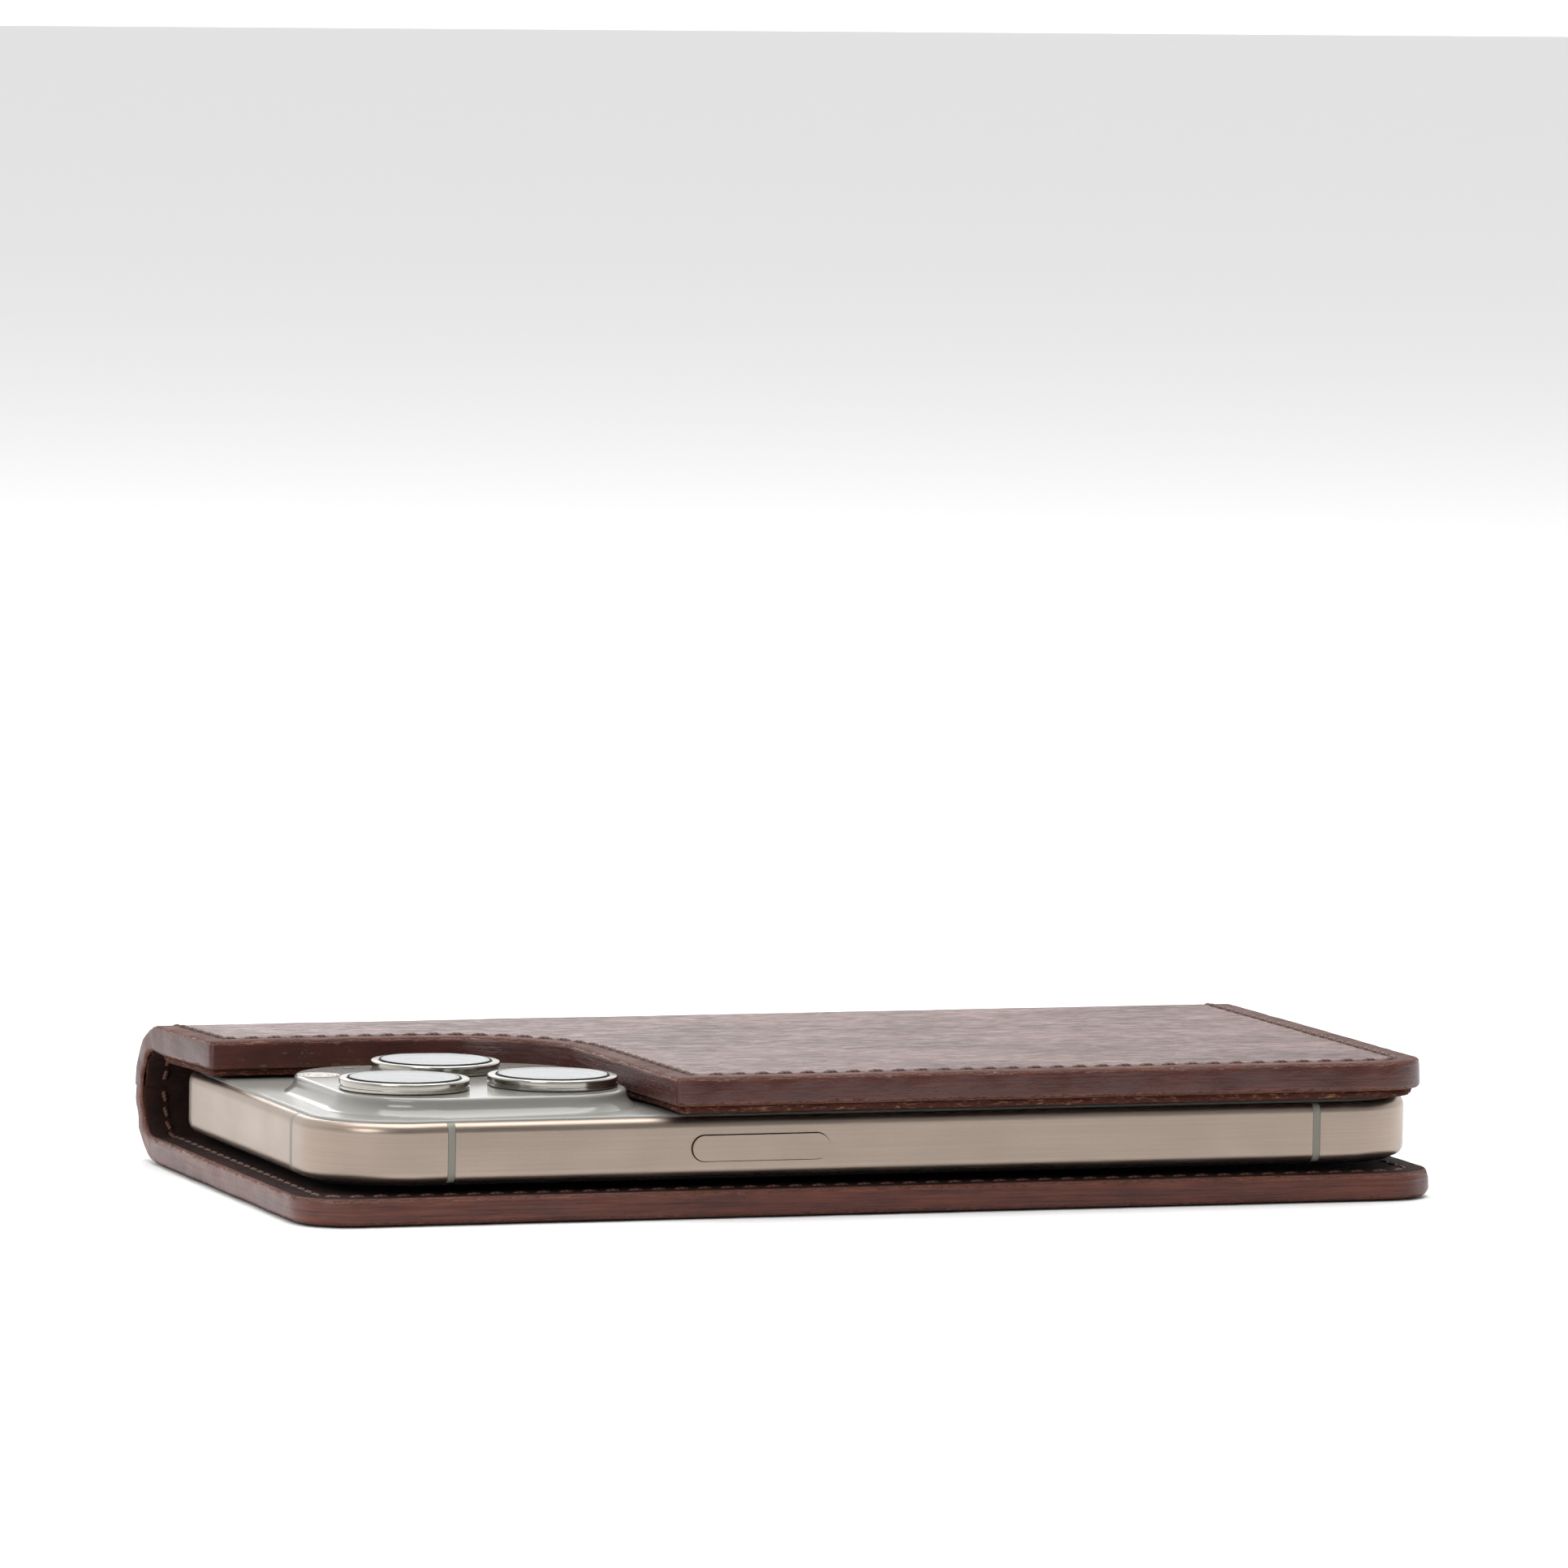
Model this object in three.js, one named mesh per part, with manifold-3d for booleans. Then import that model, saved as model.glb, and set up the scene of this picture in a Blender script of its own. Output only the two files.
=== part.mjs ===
// A leather phone wallet case, lying closed on its front cover, and the phone that it holds.
// Millimetres. X runs along the phone towards its port, Y across it towards the spine, Z up.
// The origin is on the underside of the front cover, below the middle of the closed case.
import * as THREE from 'three';
import { mergeVertices } from 'three/addons/utils/BufferGeometryUtils.js';
import Module from 'manifold-3d';

const wasm = await Module();
wasm.setup();

// ---------------------------------------------------------------- driving dimensions
const CASE = { length: 151, depth: 78.2, height: 17.6, corner: 7 };
const NEAR_Y = -CASE.depth / 2; // the long edge that opens
const OUTER_Y = CASE.depth / 2; // the outside of the spine
const END_X = CASE.length / 2;
const GLUE = 0.03; // the glue line between two bonded layers

// The spine is a rounded strip: a large bend below, a smaller one above, nearly flat between.
const SPINE = { lowerRadius: 9, upperRadius: 7.5, leather: 1.3, lining: 1.5, liningInset: 0.5, topZ: 9.1 };
const LOWER_BEND = { y: OUTER_Y - SPINE.lowerRadius, z: SPINE.lowerRadius };
const UPPER_BEND = { y: OUTER_Y - SPINE.upperRadius, z: CASE.height - SPINE.upperRadius };
const LINING_DEPTH = SPINE.leather + GLUE; // from the outside of the spine to its lining
const SPINE_DEPTH = LINING_DEPTH + SPINE.lining;
const FOLD_CLEARANCE = 1; // room for the spine strip to turn past the edge of the front cover

// The front cover: leather turned up over the edges of a board, and an inner leather panel with
// three slits. A thin pocket sheet hangs behind each slit, and cards slide in from the spine side.
const FRONT_END_Y = LOWER_BEND.y - FOLD_CLEARANCE;
const COVER = { leather: 1, rimZ: 2.38, rimWidth: 1.2, board: 0.5, topZ: 3.36, liningInset: 0.5 };
const POCKET = { length: 92, depth: 45, overlap: 2, sheet: 0.22, slit: 0.8 };
const CARD_POCKETS = [
  { name: 'card_pocket_back', slitY: 20 },
  { name: 'card_pocket_middle', slitY: 14 },
  { name: 'card_pocket_front', slitY: 8 },
];

// The back panel: leather turned over the edges of a board, with a lining under both.
const PANEL = { rimZ: 13.95, rimWidth: 1.2, boardEndY: 30, liningZ: 13, liningInset: 0.6 };
// Seen from above, its ends are cut a little shorter than the spine's.
const PANEL_END = { cameraX: -73, portX: 74.1, hingeX: 73.4 };
// The cut-out for the camera is an open corner with one large round.
const NOTCH = { farY: 12.4, nearX: -27.4, slope: 0.035, radius: 16, tip: 0.8 };

// The magnets in the back panel sit over the ones in the phone.
const MAGNETS = { x: 5, inner: 22.8, outer: 28.1, topZ: 15.9, shunt: 0.35, barLength: 22, barWidth: 4.5 };

// The phone lies screen down, with its camera end at -X.
const PHONE = { length: 146.6, width: 70.6, thick: 8.25, corner: 11.5, endX: -72.3, sideY: -36.6, z: 4.4 };
const PHONE_Y = PHONE.sideY + PHONE.width / 2;
const PHONE_TOP = PHONE.z + PHONE.thick;
const SIDE_Z = 8.46; // the height of the buttons and the port
const FRAME = { z0: 4.85, z1: 12.3, edgeInset: 1, edgeHeight: 1.3, wall: 2.2 };
const GLASS = { inset: 1.3, edge: 0.5, seat: 0.05, frontTop: 5.3, backBottom: 11.9 };
const PLATEAU = { x0: -66.6, x1: -29, y0: -33, y1: 5.4, corner: 11, top: 15, edge: 0.45, flare: 1.6 };

const LENS = { outer: 8.2, seat: 6.95, neck: 7.25, bore: 6.75, top: 16.4, neckZ: 13.2, glassZ: 15.65 };
const BARREL = { radius: 6.6, foot: 6.7, rim: 1.2, eye: 3, sunk: 2.4 }; // the tube behind a lens
const LENSES = [
  { name: 'main', x: -57.35, y: -21.2 },
  { name: 'tele', x: -37.95, y: -21.2 },
  { name: 'wide', x: -47.65, y: -2.7 },
];
const WINDOWS = [
  { name: 'flash_window', x: -63.6, y: -4.6, radius: 2.7, finish: 'flash' },
  { name: 'depth_sensor_window', x: -33.1, y: -4.6, radius: 2.7, finish: 'dark_glass' },
  { name: 'rear_microphone', x: -57.6, y: 2.2, radius: 0.7, finish: 'dark_plastic' },
];
const WINDOW_DEPTH = 0.4;

// Buttons along the two long sides: side is -1 for the open edge and 1 for the spine.
const BUTTON = { width: 3.2, proud: 0.35, inside: 1.6, clearance: 0.12 };
const BUTTONS = [
  { name: 'side_button', x: -15.5, length: 18, side: -1 },
  { name: 'action_button', x: -39.3, length: 7, side: 1 },
  { name: 'volume_up_button', x: -24.8, length: 11, side: 1 },
  { name: 'volume_down_button', x: -10.8, length: 11, side: 1 },
];

// Plastic strips that part the metal band into aerials.
const INLAY = { width: 1, depth: 1, clearance: 0.04 };
const INLAYS = [
  { name: 'antenna_strip_open_top', at: -55.8, face: '-y' },
  { name: 'antenna_strip_open_bottom', at: 58.8, face: '-y' },
  { name: 'antenna_strip_spine_top', at: -55.8, face: '+y' },
  { name: 'antenna_strip_spine_bottom', at: 58.8, face: '+y' },
  { name: 'antenna_strip_camera_end', at: -22.2, face: '-x' },
  { name: 'antenna_strip_port_end', at: 19.6, face: '+x' },
];

const EARPIECE = { x: -70.1, length: 10, width: 0.8, z0: 4.55 };
const FRONT_CAMERA = { x: -66.4, radius: 1.7, z0: 4.5, z1: 4.8 };

const PORT = { width: 9, height: 3.2, depth: 6.5, wall: 0.3, tongue: 6.6, tongueThick: 0.7 };
const GRILLE = { radius: 0.65, first: 10.6, pitch: 2.4, count: 5 };
const SCREW = { offset: 6.4, radius: 0.75, length: 1.6 };

// What fills the phone.
const INSIDE = {
  display: { inset: 2.5, z0: 5.4, z1: 6.1 },
  battery: { x0: -22, x1: 62, y0: -33, y1: 7, z0: 6.3, z1: 10.8 },
  circuit: { x0: -22, x1: 62, y0: 9, y1: 30, z0: 6.3, z1: 8.6 },
  coil: { inner: 10, outer: 21, z0: 11.05, z1: 11.5 },
  magnets: { inner: 23, outer: 27.5, z0: 11.05, z1: 11.6 },
};

const FINISHES = {
  leather: { color: 0x6b3a2f, roughness: 0.55, metalness: 0 },
  lining: { color: 0x4a281f, roughness: 0.8, metalness: 0 },
  board: { color: 0x8a7a66, roughness: 0.9, metalness: 0 },
  magnet: { color: 0x9a9a9c, roughness: 0.35, metalness: 1 },
  titanium: { color: 0xb2a093, roughness: 0.35, metalness: 1 },
  polished: { color: 0xc9c4bd, roughness: 0.15, metalness: 1 },
  plastic_strip: { color: 0x7a7568, roughness: 0.5, metalness: 0 },
  screen: { color: 0x050506, roughness: 0.08, metalness: 0 },
  back_glass: { color: 0xa9aaa5, roughness: 0.35, metalness: 0 },
  lens_glass: { color: 0x101216, roughness: 0.05, metalness: 0 },
  dark_glass: { color: 0x15110f, roughness: 0.1, metalness: 0 },
  flash: { color: 0xe6e0cf, roughness: 0.3, metalness: 0 },
  dark_plastic: { color: 0x1b1b1c, roughness: 0.5, metalness: 0 },
  battery: { color: 0x2a2a2d, roughness: 0.5, metalness: 0 },
  circuit: { color: 0x1e3a2c, roughness: 0.6, metalness: 0 },
  copper: { color: 0xb06a3b, roughness: 0.35, metalness: 1 },
};

// ---------------------------------------------------------------- solids and outlines
const X = new THREE.Vector3(1, 0, 0);
const Y = new THREE.Vector3(0, 1, 0);
const Z = new THREE.Vector3(0, 0, 1);
const ALONG_X = new THREE.Matrix4().makeBasis(Y, Z, X); // drawn in Y and Z, pulled along X
const ALONG_Y = new THREE.Matrix4().makeBasis(Z, X, Y); // drawn in Z and X, pulled along Y

function solid(geometry) {
  const bare = geometry.index ? geometry.toNonIndexed() : geometry;
  bare.deleteAttribute('normal');
  bare.deleteAttribute('uv');
  const merged = mergeVertices(bare, 1e-4);
  const vertProperties = new Float32Array(merged.attributes.position.array);
  const triVerts = new Uint32Array(merged.index.array);
  return new wasm.Manifold(new wasm.Mesh({ numProp: 3, vertProperties, triVerts }));
}

function geometryOf(body) {
  const mesh = body.getMesh();
  const geometry = new THREE.BufferGeometry();
  geometry.setAttribute('position', new THREE.BufferAttribute(mesh.vertProperties, 3));
  geometry.setIndex(new THREE.BufferAttribute(mesh.triVerts, 1));
  geometry.computeVertexNormals();
  return geometry;
}

// Corners are { x, y, r }, counter-clockwise. A corner with a radius becomes an arc.
function outline(corners, segments = 10) {
  const points = [];
  corners.forEach((corner, i) => {
    const before = corners[(i + corners.length - 1) % corners.length];
    const after = corners[(i + 1) % corners.length];
    const here = new THREE.Vector2(corner.x, corner.y);
    const incoming = here.clone().sub(before).normalize();
    const outgoing = new THREE.Vector2(after.x, after.y).sub(here).normalize();
    const turn = Math.atan2(incoming.cross(outgoing), incoming.dot(outgoing));
    if (!corner.r) {
      points.push(here);
      return;
    }
    const start = here.clone().addScaledVector(incoming, -corner.r * Math.tan(Math.abs(turn) / 2));
    const left = new THREE.Vector2(-incoming.y, incoming.x);
    const centre = start.clone().addScaledVector(left, corner.r * Math.sign(turn));
    for (let step = 0; step <= segments; step += 1) {
      points.push(start.clone().rotateAround(centre, (turn * step) / segments));
    }
  });
  return points;
}

// The same corners, moved in from every edge. Outer rounds tighten and inner rounds open up.
function inset(corners, distance) {
  return corners.map((corner, i) => {
    const before = corners[(i + corners.length - 1) % corners.length];
    const after = corners[(i + 1) % corners.length];
    const incoming = new THREE.Vector2(corner.x - before.x, corner.y - before.y).normalize();
    const outgoing = new THREE.Vector2(after.x - corner.x, after.y - corner.y).normalize();
    const normals = new THREE.Vector2(-incoming.y - outgoing.y, incoming.x + outgoing.x);
    const move = distance / (1 + incoming.dot(outgoing));
    const sharper = incoming.cross(outgoing) > 0 ? distance : -distance;
    return {
      x: corner.x + normals.x * move,
      y: corner.y + normals.y * move,
      r: corner.r ? Math.max(corner.r - sharper, 0.1) : 0,
    };
  });
}

function rectangle(x0, x1, y0, y1, r = 0) {
  return [{ x: x0, y: y0, r }, { x: x1, y: y0, r }, { x: x1, y: y1, r }, { x: x0, y: y1, r }];
}

// Joins outlines of equal length, each { z, points } a little higher than the last, into one solid.
function loft(levels) {
  const count = levels[0].points.length;
  const positions = levels.flatMap(({ z, points }) => points.flatMap((p) => [p.x, p.y, z]));
  const index = [];
  for (let level = 0; level + 1 < levels.length; level += 1) {
    for (let i = 0; i < count; i += 1) {
      const a = level * count + i;
      const b = level * count + ((i + 1) % count);
      index.push(a, b, b + count, a, b + count, a + count);
    }
  }
  const last = (levels.length - 1) * count;
  for (const [a, b, c] of THREE.ShapeUtils.triangulateShape(levels[0].points, [])) {
    index.push(a, c, b);
  }
  for (const [a, b, c] of THREE.ShapeUtils.triangulateShape(levels.at(-1).points, [])) {
    index.push(last + a, last + b, last + c);
  }
  const geometry = new THREE.BufferGeometry();
  geometry.setAttribute('position', new THREE.Float32BufferAttribute(positions, 3));
  geometry.setIndex(index);
  return geometry;
}

function prism(points, z0, z1, turn) {
  const geometry = loft([{ z: z0, points }, { z: z1, points }]);
  return solid(turn ? geometry.applyMatrix4(turn) : geometry);
}

function block(x0, x1, y0, y1, z0, z1) {
  return prism(outline(rectangle(x0, x1, y0, y1)), z0, z1);
}

function disc(x, y, radius, z0, z1, segments = 32) {
  const geometry = new THREE.CylinderGeometry(radius, radius, z1 - z0, segments);
  geometry.rotateX(Math.PI / 2);
  return solid(geometry.translate(x, y, (z0 + z1) / 2));
}

function turned(profile, x, y, segments) {
  const points = profile.map(([radius, z]) => new THREE.Vector2(radius, z));
  const geometry = new THREE.LatheGeometry(points, segments);
  geometry.rotateX(Math.PI / 2);
  return solid(geometry.translate(x, y, 0));
}

function arc(centre, radius, fromDegrees, toDegrees, segments) {
  const points = [];
  for (let step = 0; step <= segments; step += 1) {
    const angle = THREE.MathUtils.degToRad(fromDegrees + ((toDegrees - fromDegrees) * step) / segments);
    points.push(new THREE.Vector2(centre.y + radius * Math.cos(angle), centre.z + radius * Math.sin(angle)));
  }
  return points;
}

function addPart(group, name, body, finish) {
  const mesh = new THREE.Mesh(geometryOf(body), new THREE.MeshStandardMaterial(FINISHES[finish]));
  mesh.name = name;
  group.add(mesh);
}

// ---------------------------------------------------------------- the leather case
function frontPrism(distance, endY, z0, z1) {
  const corners = inset([
    { x: END_X, y: NEAR_Y, r: CASE.corner },
    { x: END_X, y: endY, r: 0 },
    { x: -END_X, y: endY, r: 0 },
    { x: -END_X, y: NEAR_Y, r: CASE.corner },
  ], distance);
  return prism(outline(corners), z0, z1);
}

function coverLeather() {
  const hollow = frontPrism(COVER.rimWidth, OUTER_Y, COVER.leather, CASE.height);
  return frontPrism(0, FRONT_END_Y, 0, COVER.rimZ).subtract(hollow);
}

function coverLining() {
  let panel = frontPrism(COVER.liningInset, FRONT_END_Y + COVER.liningInset, COVER.rimZ + GLUE, COVER.topZ);
  for (const { slitY } of CARD_POCKETS) {
    const half = POCKET.length / 2;
    panel = panel.subtract(block(-half, half, slitY, slitY + POCKET.slit, 0, CASE.height));
  }
  return panel;
}

function frontCover() {
  const group = new THREE.Group();
  const boardZ = COVER.leather + GLUE;
  const boardInset = COVER.rimWidth + GLUE;
  const board = frontPrism(boardInset, FRONT_END_Y + boardInset, boardZ, boardZ + COVER.board);
  addPart(group, 'front_cover_leather', coverLeather(), 'leather');
  addPart(group, 'front_cover_board', board, 'board');
  let z = boardZ + COVER.board + GLUE;
  for (const { name, slitY } of CARD_POCKETS) {
    const half = POCKET.length / 2 + POCKET.overlap;
    const sheet = block(-half, half, slitY - POCKET.depth, slitY + POCKET.overlap, z, z + POCKET.sheet);
    addPart(group, name, sheet, 'lining');
    z += POCKET.sheet + GLUE;
  }
  addPart(group, 'front_cover_lining', coverLining(), 'lining');
  return group;
}

// A strip that wraps the lower bend and runs up the back of the spine, between two depths.
function spineStrip(outerDepth, innerDepth, endX) {
  const outer = arc(LOWER_BEND, SPINE.lowerRadius - outerDepth, -90, 0, 12);
  const inner = arc(LOWER_BEND, SPINE.lowerRadius - innerDepth, 0, -90, 12);
  const top = [
    new THREE.Vector2(OUTER_Y - outerDepth, SPINE.topZ),
    new THREE.Vector2(OUTER_Y - innerDepth, SPINE.topZ),
  ];
  return prism([...outer, ...top, ...inner], -endX, endX, ALONG_X);
}

function spine() {
  const group = new THREE.Group();
  addPart(group, 'spine_leather', spineStrip(0, SPINE.leather, END_X), 'leather');
  addPart(group, 'spine_lining', spineStrip(LINING_DEPTH, SPINE_DEPTH, END_X - SPINE.liningInset), 'lining');
  return group;
}

function panelCorners() {
  const notchX = NOTCH.nearX - NOTCH.slope * (NOTCH.farY - NEAR_Y);
  return [
    { x: PANEL_END.portX, y: NEAR_Y, r: CASE.corner },
    { x: PANEL_END.hingeX, y: UPPER_BEND.y, r: 0 },
    { x: END_X, y: OUTER_Y, r: 0 },
    { x: -END_X, y: OUTER_Y, r: 0 },
    { x: PANEL_END.cameraX, y: NOTCH.farY, r: NOTCH.tip },
    { x: notchX, y: NOTCH.farY, r: NOTCH.radius },
    { x: NOTCH.nearX, y: NEAR_Y, r: NOTCH.tip },
  ];
}

function panelPrism(distance, z0, z1) {
  return prism(outline(inset(panelCorners(), distance)), z0, z1);
}

// The top sheet runs on round the upper bend, and its edges are turned down over the board.
function panelLeather() {
  const sheetZ = CASE.height - SPINE.leather;
  const section = [
    new THREE.Vector2(NEAR_Y, sheetZ),
    ...arc(UPPER_BEND, SPINE.upperRadius - SPINE.leather, 90, 0, 10),
    ...arc(UPPER_BEND, SPINE.upperRadius, 0, 90, 10),
    new THREE.Vector2(NEAR_Y, CASE.height),
  ];
  const sheet = prism(section, -END_X, END_X, ALONG_X).intersect(panelPrism(0, 0, CASE.height + 1));
  const rim = panelPrism(0, PANEL.rimZ, sheetZ + GLUE)
    .subtract(panelPrism(PANEL.rimWidth, 0, CASE.height))
    .intersect(block(-END_X - 1, END_X + 1, NEAR_Y - 1, PANEL.boardEndY, 0, CASE.height));
  return sheet.add(rim);
}

function magnetRing(inner, outer, z0, z1) {
  const hole = disc(MAGNETS.x, PHONE_Y, inner, z0 - 1, z1 + 1);
  return disc(MAGNETS.x, PHONE_Y, outer, z0, z1).subtract(hole);
}

function magnetBar(clearance, z0, z1) {
  const x0 = MAGNETS.x + MAGNETS.outer + 4;
  const half = MAGNETS.barLength / 2 + clearance;
  const width = MAGNETS.barWidth + clearance;
  return block(x0 - clearance, x0 + width, PHONE_Y - half, PHONE_Y + half, z0, z1);
}

function panelBoard() {
  const z0 = PANEL.rimZ + GLUE;
  const clearance = 0.1;
  const { inner, outer, topZ } = MAGNETS;
  const ring = magnetRing(inner - clearance, outer + clearance, z0 - 1, topZ + GLUE);
  return panelPrism(PANEL.rimWidth + GLUE, z0, CASE.height - SPINE.leather - GLUE)
    .intersect(block(-END_X, END_X, NEAR_Y, PANEL.boardEndY, 0, CASE.height))
    .subtract(ring)
    .subtract(magnetBar(clearance, z0 - 1, topZ + GLUE));
}

// The lining is flat under the board, steps up at its edge and follows the upper bend.
function panelLining() {
  const topZ = PANEL.rimZ - GLUE;
  const stepY = PANEL.boardEndY + 2 * GLUE;
  const section = [
    new THREE.Vector2(NEAR_Y, PANEL.liningZ),
    new THREE.Vector2(UPPER_BEND.y - GLUE, PANEL.liningZ),
    ...arc(UPPER_BEND, SPINE.upperRadius - SPINE_DEPTH, 90, 0, 10),
    ...arc(UPPER_BEND, SPINE.upperRadius - LINING_DEPTH, 0, 90, 10),
    new THREE.Vector2(stepY, CASE.height - LINING_DEPTH),
    new THREE.Vector2(stepY, topZ),
    new THREE.Vector2(NEAR_Y, topZ),
  ];
  return prism(section, -END_X, END_X, ALONG_X).intersect(panelPrism(PANEL.liningInset, 0, CASE.height));
}

function backPanel() {
  const group = new THREE.Group();
  const magnetZ = PANEL.rimZ + GLUE;
  const { inner, outer, topZ } = MAGNETS;
  const shuntZ = topZ - MAGNETS.shunt;
  addPart(group, 'back_panel_leather', panelLeather(), 'leather');
  addPart(group, 'back_panel_board', panelBoard(), 'board');
  addPart(group, 'back_panel_lining', panelLining(), 'lining');
  addPart(group, 'magnet_ring', magnetRing(inner, outer, magnetZ, shuntZ - GLUE), 'magnet');
  addPart(group, 'magnet_shunt', magnetRing(inner, outer, shuntZ, topZ), 'magnet');
  addPart(group, 'alignment_magnet', magnetBar(0, magnetZ, topZ), 'magnet');
  return group;
}

// ---------------------------------------------------------------- the phone
function phoneCorners(distance) {
  const { endX, sideY, length, width, corner } = PHONE;
  return inset(rectangle(endX, endX + length, sideY, sideY + width, corner), distance);
}

function phoneOutline(distance) {
  return outline(phoneCorners(distance), 10);
}

// Levels of a quarter round: the outline comes in by reach while z goes from z0 to z1.
function roundedLevels(outlineAt, base, reach, z0, z1, steps) {
  const levels = [];
  for (let step = 0; step <= steps; step += 1) {
    const angle = ((Math.PI / 2) * step) / steps;
    const z = z0 + (z1 - z0) * Math.sin(angle);
    levels.push({ z, points: outlineAt(base + reach * (1 - Math.cos(angle))) });
  }
  return z1 > z0 ? levels : levels.reverse();
}

function bandSolid() {
  const low = FRAME.z0 + FRAME.edgeHeight;
  const high = FRAME.z1 - FRAME.edgeHeight;
  return solid(loft([
    ...roundedLevels(phoneOutline, 0, FRAME.edgeInset, low, FRAME.z0, 5),
    ...roundedLevels(phoneOutline, 0, FRAME.edgeInset, high, FRAME.z1, 5),
  ]));
}

// A plate whose outer face has a rounded edge. It lies above the inner face, or below it.
function glassPlate(innerZ, outerZ) {
  const up = outerZ > innerZ;
  const edgeZ = outerZ - (up ? GLASS.edge : -GLASS.edge);
  const inner = { z: innerZ, points: phoneOutline(GLASS.inset) };
  const rounded = roundedLevels(phoneOutline, GLASS.inset, GLASS.edge, edgeZ, outerZ, 3);
  return solid(loft(up ? [inner, ...rounded] : [...rounded, inner]));
}

// A rod with round ends, drawn in Z and X and pulled along Y.
function roundedRod(x, length, width, y0, y1, grow) {
  const halfX = length / 2 + grow;
  const halfZ = width / 2 + grow;
  const corners = rectangle(SIDE_Z - halfZ, SIDE_Z + halfZ, x - halfX, x + halfX, halfZ * 0.999);
  return prism(outline(corners, 8), y0, y1, ALONG_Y);
}

function buttonSpan(button) {
  const face = PHONE_Y + (button.side * PHONE.width) / 2;
  const ends = [face + button.side * BUTTON.proud, face - button.side * BUTTON.inside];
  return [Math.min(...ends), Math.max(...ends)];
}

function buttonPocket(button) {
  const [y0, y1] = buttonSpan(button);
  return roundedRod(button.x, button.length, BUTTON.width, y0 - 2, y1 + 2, BUTTON.clearance);
}

// The block that a plastic strip fills, cut into one face of the band.
function inlayBlock(inlay, clearance) {
  const half = INLAY.width / 2 - clearance;
  const depth = INLAY.depth - clearance;
  const beyond = 1;
  const low = inlay.at - half;
  const high = inlay.at + half;
  const z = [PHONE.z - beyond, PHONE_TOP + beyond];
  const farX = PHONE.endX + PHONE.length;
  const farY = PHONE.sideY + PHONE.width;
  if (inlay.face === '-y') return block(low, high, PHONE.sideY - beyond, PHONE.sideY + depth, ...z);
  if (inlay.face === '+y') return block(low, high, farY - depth, farY + beyond, ...z);
  if (inlay.face === '-x') return block(PHONE.endX - beyond, PHONE.endX + depth, low, high, ...z);
  return block(farX - depth, farX + beyond, low, high, ...z);
}

// A slot with round ends, drawn in Y and Z and pulled along X.
function endSlot(width, height, x0, x1) {
  const y = [PHONE_Y - width / 2, PHONE_Y + width / 2];
  const z = [SIDE_Z - height / 2, SIDE_Z + height / 2];
  return prism(outline(rectangle(...y, ...z, (height / 2) * 0.999), 6), x0, x1, ALONG_X);
}

function endRod(y, radius, x0, x1) {
  const geometry = new THREE.CylinderGeometry(radius, radius, x1 - x0, 12);
  geometry.rotateZ(Math.PI / 2);
  return solid(geometry.translate((x0 + x1) / 2, y, SIDE_Z));
}

function phoneFrame(band) {
  const farX = PHONE.endX + PHONE.length;
  const seatInset = GLASS.inset - GLASS.seat;
  let frame = band
    .subtract(prism(phoneOutline(seatInset), 0, GLASS.frontTop + GLASS.seat))
    .subtract(prism(phoneOutline(seatInset), GLASS.backBottom - GLASS.seat, PHONE_TOP + 1))
    .subtract(prism(phoneOutline(FRAME.wall), 0, PHONE_TOP + 1))
    .subtract(endSlot(PORT.width, PORT.height, farX - PORT.depth - 1, farX + 1));
  for (const button of BUTTONS) frame = frame.subtract(buttonPocket(button));
  for (const inlay of INLAYS) frame = frame.subtract(inlayBlock(inlay, 0));
  for (const side of [-1, 1]) {
    const screwHole = SCREW.radius + GLASS.seat;
    frame = frame.subtract(endRod(PHONE_Y + side * SCREW.offset, screwHole, farX - SCREW.length, farX + 1));
    for (let i = 0; i < GRILLE.count; i += 1) {
      const y = PHONE_Y + side * (GRILLE.first + i * GRILLE.pitch);
      frame = frame.subtract(endRod(y, GRILLE.radius, farX - FRAME.wall - 1, farX + 1));
    }
  }
  return frame;
}

// The raised camera block: a hollow flare out of the back glass, then a small round at its top edge.
function plateau() {
  const { x0, x1, y0, y1, corner, top, edge, flare } = PLATEAU;
  const outlineAt = (distance) => outline(inset(rectangle(x0, x1, y0, y1, corner), distance), 10);
  const height = top - edge - PHONE_TOP;
  const levels = [{ z: GLASS.backBottom + GLASS.edge, points: outlineAt(-flare) }];
  const steps = 6;
  for (let step = 0; step < steps; step += 1) {
    const share = step / steps;
    levels.push({ z: PHONE_TOP + height * share, points: outlineAt(-flare * (1 - share) ** 2.5) });
  }
  return solid(loft([...levels, ...roundedLevels(outlineAt, 0, edge, top - edge, top, 3)]));
}

function backGlass() {
  let glass = glassPlate(GLASS.backBottom, PHONE_TOP).add(plateau());
  for (const lens of LENSES) {
    glass = glass.subtract(disc(lens.x, lens.y, LENS.neck + GLASS.seat, 0, PLATEAU.top + 1, 40));
  }
  for (const window of WINDOWS) {
    const z0 = PLATEAU.top - WINDOW_DEPTH;
    glass = glass.subtract(disc(window.x, window.y, window.radius + GLASS.seat, z0, PLATEAU.top + 1));
  }
  return glass;
}

function earpieceSolid(grow, z0) {
  const halfX = EARPIECE.width / 2 + grow;
  const halfY = EARPIECE.length / 2 + grow;
  const x = [EARPIECE.x - halfX, EARPIECE.x + halfX];
  const y = [PHONE_Y - halfY, PHONE_Y + halfY];
  return prism(outline(rectangle(...x, ...y, halfX * 0.99), 5), z0, GLASS.frontTop - GLASS.seat);
}

function frontCamera(grow, z0, z1) {
  return disc(FRONT_CAMERA.x, PHONE_Y, FRONT_CAMERA.radius + grow, z0, z1, 24);
}

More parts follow.
